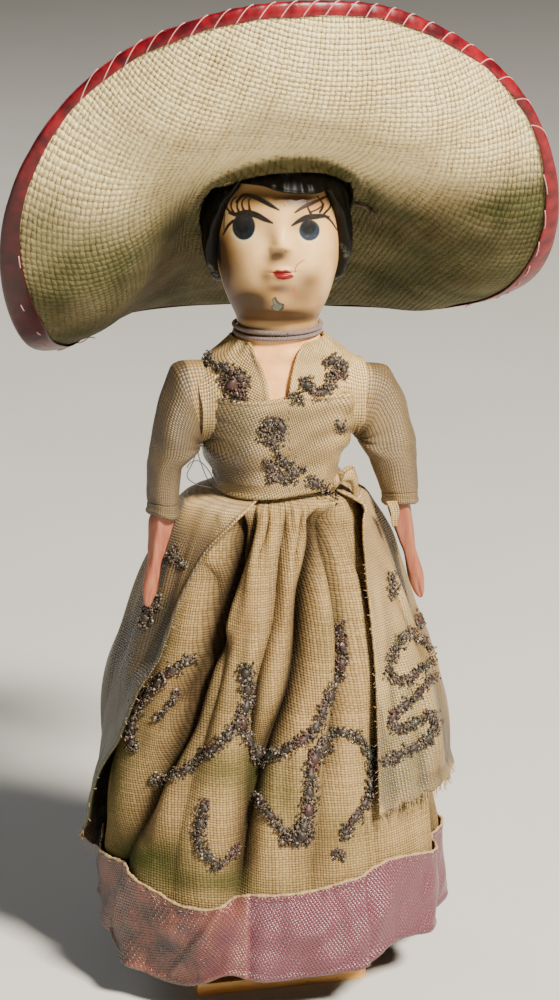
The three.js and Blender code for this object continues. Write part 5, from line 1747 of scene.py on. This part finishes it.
def frame_folds(folds, phi, z):
    """Depth of folds given as degrees at the waist and hem, depth, and half-width in degrees."""
    down = way_down(z, most=1.1)
    depth = 0
    for top, bottom, deep, half in folds:
        middle = np.radians(top + (bottom - top) * down ** 0.8)
        offset = angle_between(phi, middle) / (math.radians(half) * (1.15 - 0.3 * down))
        depth = depth + deep * np.exp(-offset * offset) * ease(down * 3.2 + 0.12)
    return depth * ease(down * 12)


def seen_share(phi):
    """1 for the angles that the photograph shows well, 0 for those behind."""
    return ease((np.cos(phi + math.radians(13)) - 0.05) / 0.3)


def photo_folds(phi, z, envelope):
    """Depth of the folds at the pixel lines of the photograph."""
    pixels = to_pixels(polar(envelope, phi, z))
    down = way_down(z, most=1.1)
    depth = np.zeros(pixels.shape[:-1])
    easing = 1 - 0.5 * ease((down - 0.45) / 0.3)
    for line, deep, half in VALLEYS:
        offset, covered = beside_line(pixels, line, 12, 26)
        offset = offset / (PIXELS_PER_MM * half * (0.75 + 0.6 * down))
        depth = depth + 1.9 * deep * easing * np.exp(-np.abs(offset) ** 1.3) * covered
    return depth * ease(down * 14)


def gauze_radius(phi, z):
    envelope = gauze_envelope(phi, z)
    seen = seen_share(phi)
    front = photo_folds(phi, z, envelope)
    behind = frame_folds(FRONT_FOLDS + BACK_FOLDS, phi, z)
    return envelope - (front * seen + behind * (1 - seen))


def gauze_detail(phi, z):
    """Small gathers under the waist, and soft creases lower down."""
    down = way_down(z)
    gathers = np.sin(37 * phi + 2 * np.sin(5 * phi)) + 0.6 * np.sin(61 * phi + 1)
    near_waist = ease(down * 40) * np.exp(-down / 0.13)
    places = polar(24, phi, 0.32 * z)
    soft = ripple(places, 8, 71) * 0.55 + ripple(places, 3.6, 72) * 0.16
    free = ease((z - ribbon_place(phi, 1.0) + 1) / 9)
    return -0.42 * (gathers * 0.5 + 0.7) * near_waist + (soft - 0.55) * ease(down * 5) * free


def ribbon_surface(phi, z):
    """Where the ribbon's pixel lines are laid."""
    return polar(gauze_radius(phi, z) + 1.1, phi, z)


# Pixel lines of the ribbon's two edges, and their heights at angles round the front.
RIBBON_LOW_LINE = [
    (95, 893), (107, 910), (111, 939), (124, 958), (153, 977), (184, 986), (206, 982), (230, 973),
    (250, 979), (274, 982), (310, 977), (337, 970), (361, 963), (376, 953), (395, 941), (429, 931),
    (439, 917), (448, 905),
]
RIBBON_HIGH_LINE = [
    (90, 805), (101, 822), (116, 847), (132, 878), (160, 895), (182, 907), (216, 910), (238, 897),
    (274, 897), (322, 890), (359, 876), (378, 866), (395, 859), (441, 851), (450, 849),
]
RIBBON_ANGLES = np.linspace(-1.38, 1.02, 120)
RIBBON_LOW = height_on_line(ribbon_surface, RIBBON_ANGLES, RIBBON_LOW_LINE, 7.0)
RIBBON_LOW = np.clip(RIBBON_LOW, 4.6, 12)
RIBBON_HIGH = height_on_line(ribbon_surface, RIBBON_ANGLES, RIBBON_HIGH_LINE, 22.0)
RIBBON_HIGH = np.clip(RIBBON_HIGH, RIBBON_LOW + 13.5, RIBBON_LOW + 18)


def ribbon_place(phi, up):
    """Height of a place on the ribbon. up is 0 at its lower edge and 1 at its upper edge."""
    low, high = (np.interp(np.mod(phi, TAU), RIBBON_ANGLES, edge, period=TAU)
                 for edge in (RIBBON_LOW, RIBBON_HIGH))
    return mix(low, high, up) + 0.3 * np.sin(7 * phi) * np.clip(-np.cos(phi), 0, 1)


# Green stains of the two skirts: place and half-sizes in pixels, and strength.
STAINS = [
    (104, 765, 26, 70, 1.0), (128, 720, 24, 40, 0.5), (222, 768, 38, 22, 0.75), (282, 800, 28, 40, 0.6),
    (150, 858, 42, 22, 1.0), (215, 882, 60, 12, 0.7), (240, 700, 22, 26, 0.35), (330, 636, 12, 34, 0.4),
    (345, 830, 30, 26, 0.45), (402, 690, 22, 34, 0.8), (398, 640, 14, 26, 0.5), (400, 760, 34, 40, 0.7),
    (420, 540, 12, 30, 0.3), (168, 640, 16, 30, 0.35),
]


def stains_at(points):
    return np.clip(spots(to_pixels(points), STAINS), 0, 1) * (points[..., 1] < 8)


def make_gauze():
    rows = 250
    columns = 640
    phi = np.linspace(-math.pi, math.pi, columns, endpoint=False)[None, :]
    share = np.concatenate([np.linspace(0, 0.93, rows - 46), np.linspace(0.93, 1, 47)[1:]])[:, None]
    low = ribbon_place(phi, 0.0) + 0.35
    z = low + share * (SKIRT_TOP_Z - low)
    radius = gauze_radius(phi, z) + gauze_detail(phi, z) - 0.25
    points = polar(radius, phi, z)
    # Painted shade: darker in the fold valleys, and more towards the hem.
    valley_shade = (gauze_envelope(phi, z) - gauze_radius(phi, z) - 0.8) / 3.8
    valley_shade = np.clip(valley_shade + 0.33 * ease((50 - z) / 30), 0, 1)
    ring = np.linalg.norm(np.diff(points[rows // 3], axis=0), axis=-1)
    fan = np.concatenate([[0], np.cumsum(ring)])
    across = (fan - fan[columns // 2]) * (0.62 + 0.4 * (1 - share))
    cloth = stack(across, z * 1.02 + 1.5 * np.sin(phi), 0)
    green = np.clip(0.35 * ease((34 - z) / 26) + stains_at(points), 0, 1)
    piece = make_piece("gauze_skirt_cloth", points, grid_faces(rows, columns, closed=True), GAUZE,
                       "trunk", ["gauze_skirt"], {"cloth": cloth, "stain": green, "valley_shade": valley_shade})
    thicken(piece, 0.5)


make_gauze()

# Ribbon round the hem, with a lap, a crease, a stitched upper edge and a rolled lower edge.


LAP_ANGLE = math.radians(-24)
FOLD_ANGLE = math.radians(22)


def ribbon_step(phi, at, high, steep, long, fade):
    """A step in the ribbon at an angle. The other three lengths are in degrees."""
    past = angle_between(phi, at)
    start = ease((past + math.radians(long)) / math.radians(fade))
    return high * ease(0.5 - past / math.radians(steep)) * start


def ribbon_radius(phi, z, down):
    radius = gauze_radius(phi, z) + CLEARANCE + 0.35
    lap = ribbon_step(phi, LAP_ANGLE, 0.75, 1.2, 26, 14)
    fold = ribbon_step(phi, FOLD_ANGLE, 0.8, 1.6, 14, 10)
    places = polar(28, phi, 0.5 * z)
    waves = 1.35 * ripple(places, 10, 81) + 0.35 * ripple(places, 4, 82)
    pucker = 0.1 * np.sin(61 * phi + 2 * np.sin(5 * phi)) * np.exp(-(1 - down) / 0.12)
    loose = 1 - 0.85 * ease((down - 0.45) / 0.5)
    return radius + (lap + fold) * (0.5 + 0.5 * loose) + np.maximum(waves + 0.3, -0.1) * loose + pucker


def make_ribbon():
    rows = 70
    columns = 900
    phi = np.linspace(-math.pi, math.pi, columns, endpoint=False)[None, :]
    up = np.linspace(0, 1, rows)[:, None]
    z = ribbon_place(phi, up)
    roll = 0.28 * hump(up, 0.03, 0.03) + 0.14 * hump(up, 0.965, 0.02)
    radius = ribbon_radius(phi, z, up) + roll
    points = polar(radius, phi, z)
    pixels = to_pixels(points)
    gap, _ = segment_distance(pixels, [(218, 912), (206, 932), (190, 952), (174, 972)])
    crease = np.exp(-(gap / 4.5) ** 2) * seen_share(phi)
    points = polar(radius + 0.5 * crease, phi, z)
    run = 30 * phi
    height = up * RIBBON_WIDTH
    cloth = stack(run + 0.6 * height, height - 0.4 * run, 0)
    salmon = ease(0.5 - angle_between(phi, LAP_ANGLE) / math.radians(2))
    salmon = salmon * ease(angle_between(phi, math.radians(-120)) / math.radians(20))
    # Painted shade, with ageing: darker on the doll's right, along the lower edge and in the crease.
    age_and_shade = 0.9 * ease((-np.sin(phi) - 0.45) / 0.35) + 0.3 * ease((0.12 - up) / 0.1)
    shade = 0.6 * ease((-np.sin(phi) - 0.5) / 0.35)
    piece = make_piece("hem_ribbon_satin", points, grid_faces(rows, columns, closed=True), RIBBON,
                       "trunk", ["hem_ribbon"],
                       {"cloth": cloth, "age_and_shade": age_and_shade + 0.5 * crease, "shade": shade, "stain": salmon})
    thicken(piece, 0.4)


def make_ribbon_stitches():
    """A rolled edge of gauze over the ribbon's upper edge, with small stitches in it."""
    batch = Batch()
    phi = circle(900)
    z = ribbon_place(phi, 1.0) + 0.1
    radius = ribbon_radius(phi, z, 1.0)
    beads = 0.05 * np.sin(phi * 190) + 0.07 * np.sin(phi * 57 + 2 * np.sin(phi * 13))
    batch.add_ring(polar(radius + 0.12, phi, z), 0.27 + np.append(beads, beads[0]), 8, 0.4)
    for start in np.arange(-178, 180, 4.6):
        angle = math.radians(start + random.uniform(-1, 1)) + np.linspace(0, math.radians(1.1), 5)
        height = ribbon_place(angle, 0.95)
        away = ribbon_radius(angle, height, 0.95) + 0.32 + 0.12 * np.sin(np.linspace(0, math.pi, 5))
        batch.add_tube(polar(away, angle, height), 0.07, 5, random.random())
    batch.piece("hem_stitches", PALE_THREAD, "gauze", "trunk")


make_ribbon()
make_ribbon_stitches()

# Overskirt: one satin sheet, open at the front, with loose pleats and frayed edges.

OVERSKIRT_TOP_Z = WAIST_Z + 1.2
LEFT_EDGE = [[0, 62], [0.2, 44.5], [0.42, 36], [0.7, 28.5]]
RIGHT_EDGE = [[0, 327], [0.11, 303], [0.22, 296], [0.36, 292], [0.5, 284], [0.62, 273], [1, 258]]
OVERSKIRT_HEM = [[0, 39], [0.16, 42], [0.4, 27], [0.62, 15], [0.85, 14.5], [1, 30]]
OVERSKIRT_ROWS = [
    # [height below the waist, half-width, front depth, back depth]
    [0.2, 10.6, 8.6, 9],
    [1.4, 14.2, 11.4, 14],
    [3, 18, 13.2, 17.4],
    [6.5, 20.8, 14.4, 20.4],
    [12, 23.6, 16.6, 23],
    [22, 27.2, 20, 27],
    [37, 31.6, 24.4, 31],
    [54, 34.6, 28, 34],
    [69, 36.2, 30.4, 35.4],
    [90, 36, 30.6, 35.4],
]


def overskirt_inner(phi, z):
    width, front, back = follow(OVERSKIRT_ROWS, WAIST_Z - z)
    bell = oval_radius(phi, width, front, back)
    pleats = 0.5 + 0.5 * np.cos(9 * phi + 0.8)
    beside_hand = hump(np.abs(angle_between(phi, 0)), math.radians(76), math.radians(20))
    hollow = 3.2 * beside_hand * ease((WAIST_Z - z) / 6) * ease((z - 61.8) / 10)
    pleated = bell - hollow - 1.6 * pleats * ease(1.4 * way_down(z))
    over_ribbon = ease((HEM_CLEARANCE + 2 + RIBBON_WIDTH + 6 - z) / 6)
    under = gauze_envelope(phi, z) + 2.5 * CLEARANCE + (CLEARANCE + 0.7) * over_ribbon
    band = trunk_radius(phi, np.maximum(z, WAIST_Z)) + OVERSKIRT_OUT
    return np.where(z >= WAIST_Z - 0.2, band, np.maximum(pleated, under))


def overskirt_place(across, share):
    """Angle and height of a place on the sheet, given as shares of its width and height."""
    low = follow(OVERSKIRT_HEM, across)[0]
    z = OVERSKIRT_TOP_Z + share * (low - OVERSKIRT_TOP_Z)
    down = way_down(z, most=None)
    start = follow(LEFT_EDGE, down)[0]
    end = follow(RIGHT_EDGE, down)[0]
    return np.radians(start + across * (end - start)), z


# Ridges of the overskirt's folds: pixel line, height and half-width in millimetres.
RIDGES = [
    ([(205, 486), (186, 512), (172, 550), (160, 590), (148, 630), (138, 670)], 1.5, 1.7),
    ([(190, 480), (164, 520), (150, 560), (138, 600), (126, 650)], 1.1, 1.3),
    ([(354, 498), (376, 530), (393, 568), (402, 612), (408, 665), (410, 730), (410, 800)], 1.6, 1.8),
    ([(342, 497), (356, 524), (374, 566), (382, 606), (389, 665), (390, 740)], 1.0, 1.1),
    ([(372, 505), (400, 548), (414, 600), (424, 660), (430, 720), (430, 780)], 1.2, 1.4),
]


def overskirt_detail(phi, z, across, share):
    down = way_down(z)
    places = polar(30, phi, 0.28 * z)
    soft = 0.95 * ripple(places, 8, 91) + 0.28 * ripple(places, 3.4, 92)
    gathers = 0.35 * (0.5 + 0.5 * np.sin(31 * phi + 2 * np.sin(3 * phi)))
    gathers = gathers * ease(down * 30) * np.exp(-down / 0.12)
    edge = np.minimum(across, 1 - across)
    roll = 0.55 * hump(edge, 0.004, 0.0045)
    side = ease((0.5 - across) * 9)
    lift = 0.9 * (1 - side) * ease((0.05 - edge) / 0.05) * ease(down * 4)
    hem_lift = 0.5 * ease((share - 0.95) / 0.05)
    ridges = 0
    pixels = to_pixels(polar(overskirt_inner(phi, z), phi, z))
    for line, high, half in RIDGES:
        offset, covered = beside_line(pixels, line, 6, 20)
        ridges = ridges + high * hump(offset, 0, PIXELS_PER_MM * half) * covered
    ridges = ridges * seen_share(phi)
    return np.maximum(soft, -0.1) * ease(down * 6) + gathers + roll + lift + hem_lift + ridges


def overskirt_radius(phi, z, across, share):
    """The overskirt's middle face. Its left front edge lies down on the gauze."""
    radius = overskirt_inner(phi, z) + 0.35 + overskirt_detail(phi, z, across, share)
    laid = 0.85 * ease((0.13 - across) / 0.11) * ease((WAIST_Z - 2 - z) / 8)
    return mix(radius, gauze_envelope(phi, z) + 1.0, laid)


def make_overskirt():
    rows = 240
    columns = 620
    across = np.linspace(0, 1, columns)[None, :]
    steps = np.linspace(0, 1, rows)
    share = (0.35 * steps ** 2 + 0.65 * steps)[:, None]
    phi, z = overskirt_place(across, share)
    fray = 0.5 * np.sin(173 * across) + 0.4 * np.sin(311 * across + 1)
    z = z + fray * ease((share - 0.97) / 0.03) * 0.5
    points = polar(overskirt_radius(phi, z, across, share), phi, z)
    cloth = stack(30 * phi, 1.04 * z, 0)
    green = np.clip(0.5 * ease((30 - z) / 20) + stains_at(points), 0, 1)
    detail = overskirt_detail(phi, z, across, share)
    # Painted light and shade: lighter on the crests of the folds, darker low on the doll's right, at the
    # hip on that side, and low on the doll's left.
    crest_highlight = ease((detail - 0.35) / 0.6) * ease((86 - z) / 10)
    age_and_shade = np.clip(0.6 + 0.4 * ease((97 - z) / 10) - 0.35 * crest_highlight, 0, 1)
    dark_side = ease((-np.sin(phi + 0.05) - 0.5) / 0.2) * ease((86 - z) / 16)
    dark_side = dark_side * (0.55 + 0.5 * seen_share(phi))
    left_hip = 0.62 * ease((-np.sin(phi) - 0.45) / 0.3) * ease((97 - z) / 6)
    right_low = 0.75 * ease((np.sin(phi) - 0.4) / 0.3) * ease((76 - z) / 34)
    shade = np.clip(dark_side + left_hip + right_low - 0.3 * crest_highlight, 0, 1)
    piece = make_piece("overskirt_satin", points, grid_faces(rows, columns), SATIN, "trunk",
                       ["overskirt"], {"cloth": cloth, "age_and_shade": age_and_shade, "shade": shade, "stain": green})
    thicken(piece, 0.4)


def make_fray():
    """Loose threads along the overskirt's lower edge and its two front edges."""
    batch = Batch()
    for across in np.concatenate([np.linspace(0.002, 0.16, 90), np.linspace(0.16, 0.998, 150)]):
        across = np.clip(across + 0.002 * random.standard_normal(), 0.001, 0.999)
        phi, z = overskirt_place(np.array([across]), np.array([1.0]))
        radius = overskirt_radius(phi, z, across, np.array([1.0]))[0]
        length = random.uniform(0.6, 2.6)
        lean = random.normal(0, 0.35, 2)
        start = polar(radius, phi[0], z[0] + 0.3)
        middle = start + np.array([0.4 * lean[0], 0.3 * lean[1], -0.55 * length])
        outward = np.array([math.sin(phi[0]), -math.cos(phi[0]), 0]) * random.uniform(0, 0.35)
        end = start + np.array([lean[0], 0.6 * lean[1], -length]) + outward
        batch.add_tube(smooth_line([start, middle, end], 4), np.linspace(0.09, 0.05, 9), 4, random.random())
    for edge, count in ((0.002, 40), (0.998, 16)):
        for share in np.linspace(0.2, 0.97, count):
            share = np.array([share + 0.01 * random.standard_normal()])
            phi, z = overskirt_place(np.array([edge]), share)
            radius = overskirt_radius(phi, z, edge, share)[0] + 0.1
            towards = 1 if edge > 0.5 else -1
            start = polar(radius, phi[0], z[0])
            turn = phi[0] + towards * random.uniform(0.008, 0.026)
            end = polar(radius + random.uniform(-0.9, 0.1), turn, z[0] - random.uniform(-0.4, 0.8))
            middle = 0.5 * (start + end) + np.array([0, 0, random.uniform(-0.2, 0.2)])
            line = smooth_line([start, middle, end], 3)
            batch.add_tube(line, np.linspace(0.08, 0.05, 7), 4, random.random())
    batch.piece("overskirt_fray", PALE_THREAD, "satin", "trunk")


make_overskirt()
make_fray()

# Waist: the thread round it with its loose loops, and the loose end of the overskirt's band.
# Rows of the lines are a pixel's place, and its y in millimetres.

LOOSE_LOOPS = [
    [(214, 484, -3), (207, 478, -4), (200, 460, -5), (197, 451, -5), (193, 462, -5), (187, 476, -5),
     (196, 484, -4), (212, 488, -3)],
    [(216, 486, -3), (209, 471, -4), (199, 461, -5), (190, 463, -5), (187, 468, -5)],
]
PUFF_LINE = [
    (331, 492, -6.2), (335, 484, -7.4), (341, 475, -7.6), (348, 474, -6.6), (354, 482, -5.6),
    (356, 494, -5.4),
]


def make_waist_puff():
    """Loose end of the overskirt's band, folded over at the doll's left of the waist."""
    rows = 26
    columns = 20
    u = np.linspace(0, 1, rows)[:, None]
    turn = circle(columns)[None, :]
    path = smooth_line([pixel_on_plane(*place) for place in PUFF_LINE], 5)
    at = np.linspace(0, 1, len(path))
    x, y, z = (np.interp(u, at, path[:, k]) for k in range(3))
    radius = 1.25 * np.sin(math.pi * np.clip(u * 0.86 + 0.09, 0, 1)) ** 0.6
    points = stack(x + 0.8 * radius * np.cos(turn), y + radius * np.sin(turn),
                       z + 0.9 * radius * np.cos(turn - 0.6))
    points = points + 0.25 * ripple(points, 3, 97)[..., None]
    cloth = stack(2 * turn, 8 * u, 0)
    make_piece("waist_puff_satin", points, tube_faces(rows, columns), SATIN, "trunk", (),
               {"cloth": cloth, "age_and_shade": 0.45, "stain": 0.3})


def make_waist_thread():
    batch = Batch()
    angle = circle(500)
    z = OVERSKIRT_TOP_Z + 0.7 + 0.12 * np.sin(5 * angle)
    for turn in range(3):
        radius = trunk_radius(angle, z) + 0.6 + GAUZE_THICKNESS + 0.25 + 0.08 * np.sin(9 * angle + turn)
        batch.add_ring(polar(radius, angle, z + 0.28 * (turn - 1)), 0.13, 6, 0.2 * turn)
    for line in LOOSE_LOOPS:
        batch.add_tube(smooth_line([pixel_on_plane(*place) for place in line], 6), 0.1, 5, 0.2)
    batch.piece("waist_thread_wound", BLACK_THREAD, "black_thread", "trunk", ["waist_thread"])


make_waist_puff()
make_waist_thread()

# Tinsel: scrolls and rosettes of dark glitter, as pixel lines with a half-width in pixels.

SCROLLS = [
    ([(190, 658), (176, 668), (160, 681), (146, 697), (136, 713), (132, 731), (134, 749)], 5.4),
    ([(176, 690), (170, 706), (158, 718)], 3.2),
    ([(245, 668), (247, 698), (241, 720), (250, 742), (260, 757)], 6.2),
    ([(241, 720), (232, 730), (216, 747), (201, 757), (184, 771), (166, 777), (152, 779)], 5.2),
    ([(339, 625), (343, 654), (337, 679), (325, 703), (313, 730), (291, 747), (271, 756), (262, 762)], 5.4),
    ([(313, 754), (325, 737), (342, 732), (359, 739), (367, 751), (371, 774), (366, 798), (356, 815),
      (342, 837)], 4.8),
    ([(327, 742), (313, 759), (309, 781), (308, 805), (305, 822), (298, 837)], 6.6),
    ([(305, 832), (296, 838), (288, 836)], 8.0),
    ([(259, 796), (266, 809), (274, 820), (286, 834)], 5.0),
    ([(206, 803), (201, 820), (199, 837), (205, 851), (215, 864)], 5.6),
    ([(215, 864), (225, 861), (237, 844)], 3.4),
    ([(335, 852), (340, 855)], 4.4),
    ([(419, 616), (418, 626), (412, 632), (402, 637), (394, 649), (388, 664), (388, 675), (402, 681),
      (419, 671), (429, 662)], 4.8),
    ([(400, 640), (410, 636), (424, 644), (431, 652)], 3.6),
    ([(431, 676), (424, 686), (414, 696), (402, 707), (392, 716), (390, 725), (402, 728), (419, 720),
      (434, 713)], 4.4),
    ([(434, 718), (434, 728), (428, 738), (414, 747), (397, 755), (382, 762)], 5.0),
    ([(389, 576), (392, 586), (391, 597)], 4.8),
    ([(163, 555), (174, 556), (187, 566)], 4.4),
    ([(176, 548), (172, 562)], 3.4),
    ([(157, 601), (150, 612), (144, 624)], 5.6),
    ([(196, 361), (204, 367), (216, 366), (227, 368), (237, 374)], 5.2),
    ([(212, 355), (207, 366)], 4.0),
    ([(229, 380), (240, 392)], 9.5),
    ([(237, 374), (246, 382)], 6.0),
    ([(272, 396), (280, 393), (292, 395), (300, 400)], 4.0),
    ([(304, 381), (309, 388), (316, 393), (325, 391), (330, 381)], 5.4),
    ([(326, 362), (334, 360), (342, 366), (340, 374), (330, 372)], 5.0),
    ([(264, 424), (272, 420), (281, 426), (280, 436), (271, 441), (263, 435)], 5.4),
    ([(271, 430), (272, 431)], 7.0),
    ([(273, 442), (277, 450), (280, 457)], 2.6),
    ([(266, 462), (274, 470), (270, 480)], 5.2),
    ([(280, 460), (289, 464), (294, 473), (286, 480), (276, 475)], 5.2),
    ([(300, 467), (304, 469)], 3.4),
    ([(310, 481), (322, 488), (334, 496)], 5.4),
    ([(339, 425), (340, 427)], 4.6),
]


def cloth_tree(pieces):
    """A search tree over the outer surfaces of the cloth pieces, in millimetres."""
    vertices = []
    faces = []
    for piece in pieces:
        mesh = piece.data
        first = len(vertices)
        places = np.empty(len(mesh.vertices) * 3, np.float32)
        mesh.vertices.foreach_get("co", places)
        vertices += [tuple(p) for p in (places.reshape(-1, 3) / MM).tolist()]
        faces += [tuple(first + k for k in polygon.vertices) for polygon in mesh.polygons]
    return BVHTree.FromPolygons(vertices, faces)


def on_cloth(tree, x, y):
    """Place and outward direction of the cloth at a pixel, or None off it."""
    ray = pixel_ray(x, y)
    place, normal, _, _ = tree.ray_cast(Vector(CAMERA_PLACE), Vector(ray))
    if place is None:
        return None
    normal = np.array(normal)
    if normal @ ray > 0:
        normal = -normal
    return np.array(place), normal


def add_grain(batch, place, normal, size, tone):
    """A bent fleck of foil: four triangles round a raised middle, at a random turn."""
    side = np.cross(normal, [0.3, 0.5, 0.81])
    side /= np.linalg.norm(side)
    other = np.cross(normal, side)
    turn = random.uniform(0, TAU)
    long_axis = side * math.cos(turn) + other * math.sin(turn)
    short_axis = np.cross(normal, long_axis)
    tilt = random.normal(0, 0.55)
    up = normal * math.cos(tilt) + long_axis * math.sin(tilt)
    long_axis = np.cross(short_axis, up)
    length = size * random.uniform(0.7, 1.5)
    width = size * random.uniform(0.6, 1.0)
    thick = 0.7 * size
    points = [place + long_axis * length, place + short_axis * width, place - long_axis * length,
              place - short_axis * width, place + up * thick, place - up * thick]
    faces = [(0, 1, 4), (1, 2, 4), (2, 3, 4), (3, 0, 4), (1, 0, 5), (2, 1, 5), (3, 2, 5), (0, 3, 5)]
    batch.add(points, faces, tone)


def make_tinsel(pieces):
    tree = cloth_tree(pieces)
    grains = Batch()
    beads = Batch()
    for line, width in SCROLLS:
        half = 1.3 * width
        smooth = smooth_line(line, 6)
        steps = np.linalg.norm(np.diff(smooth, axis=0), axis=1)
        run = np.concatenate([[0], np.cumsum(steps)])
        length = run[-1]
        count = int((length + 1.5 * half) * half * 2 / 2.2)
        for _ in range(count):
            at = random.uniform(-0.4 * half, length + 0.4 * half)
            uneven = 0.8 + 0.3 * math.sin(at * 0.35 + length) + 0.15 * math.sin(at * 0.9)
            x = np.interp(at, run, smooth[:, 0]) + random.uniform(-0.95, 0.95) * half * uneven
            y = np.interp(at, run, smooth[:, 1]) + random.uniform(-0.95, 0.95) * half * uneven
            found = on_cloth(tree, x, y)
            if found is None:
                continue
            place, normal = found
            height = 0.32 + 0.5 * abs(random.normal(0, 0.6))
            add_grain(grains, place + normal * height, normal, random.uniform(0.18, 0.4), random.random())
        centre = []
        for at in np.arange(0, length, 2.5):
            found = on_cloth(tree, np.interp(at, run, smooth[:, 0]), np.interp(at, run, smooth[:, 1]))
            if found is not None and (not centre or np.linalg.norm(found[0] - centre[-1]) < 2.5):
                centre.append(found[0] + found[1] * 0.22)
        if len(centre) > 3:
            radius = 0.6 * half / 5.3 * (0.8 + 0.35 * np.sin(np.arange(len(centre)) * 0.9))
            radius[[0, -1]] *= 0.4
            beads.add_tube(centre, radius, 7, 0.15)
    grains.piece("tinsel_flecks", TINSEL, "black_thread", "trunk")
    beads.piece("tinsel_glue", TINSEL, "black_thread", "trunk")


make_tinsel([bpy.data.objects[name] for name in (
    "gauze_skirt_cloth", "overskirt_satin", "bodice_wrap_satin", "right_strap_satin", "left_strap_satin")])

# Lights: a key from above and in front, a weak fill, a weak light from behind, a pale room and floor.


def area_light(name, place, size, power, tint):
    """A square light, aimed at the middle of the doll."""
    data = bpy.data.lights.new(name, "AREA")
    data.shape = "SQUARE"
    data.size = size
    data.energy = power
    data.color = tint
    light = bpy.data.objects.new(name, data)
    turn = (Vector((0, 0, 0.1)) - Vector(place)).to_track_quat("-Z", "Y")
    light.matrix_world = Matrix.Translation(place) @ turn.to_matrix().to_4x4()
    bpy.context.scene.collection.objects.link(light)


def add_lights():
    area_light("key", (0.42, -0.78, 0.95), 0.22, 56.0, (1, 0.92, 0.79))
    area_light("fill", (-0.7, -0.6, 0.2), 0.5, 0.35, (0.95, 0.98, 1))
    area_light("back", (-0.5, 0.85, 0.6), 0.5, 3.0, (0.95, 0.98, 1))


def add_world():
    world = bpy.data.worlds.new("room")
    bpy.context.scene.world = world
    world.use_nodes = True
    background = world.node_tree.nodes["Background"]
    background.inputs["Color"].default_value = (0.97, 0.98, 1, 1)
    background.inputs["Strength"].default_value = 0.06


def floor_material():
    s = Shader("floor")
    tone = s.colour(s.noise(60, 4), "#c9c7c2", "#d3d1cd")
    return s.finish(Base_Color=tone, Roughness=0.9)


def make_floor():
    mesh = bpy.data.meshes.new("floor")
    half = 1.6
    corners = [(-half, -half, 0), (half, -half, 0), (half, half, 0), (-half, half, 0)]
    mesh.from_pydata(corners, [], [(0, 1, 2, 3)])
    floor = bpy.data.objects.new("floor", mesh)
    mesh.materials.append(floor_material())
    bpy.context.scene.collection.objects.link(floor)


add_lights()
add_world()
make_floor()
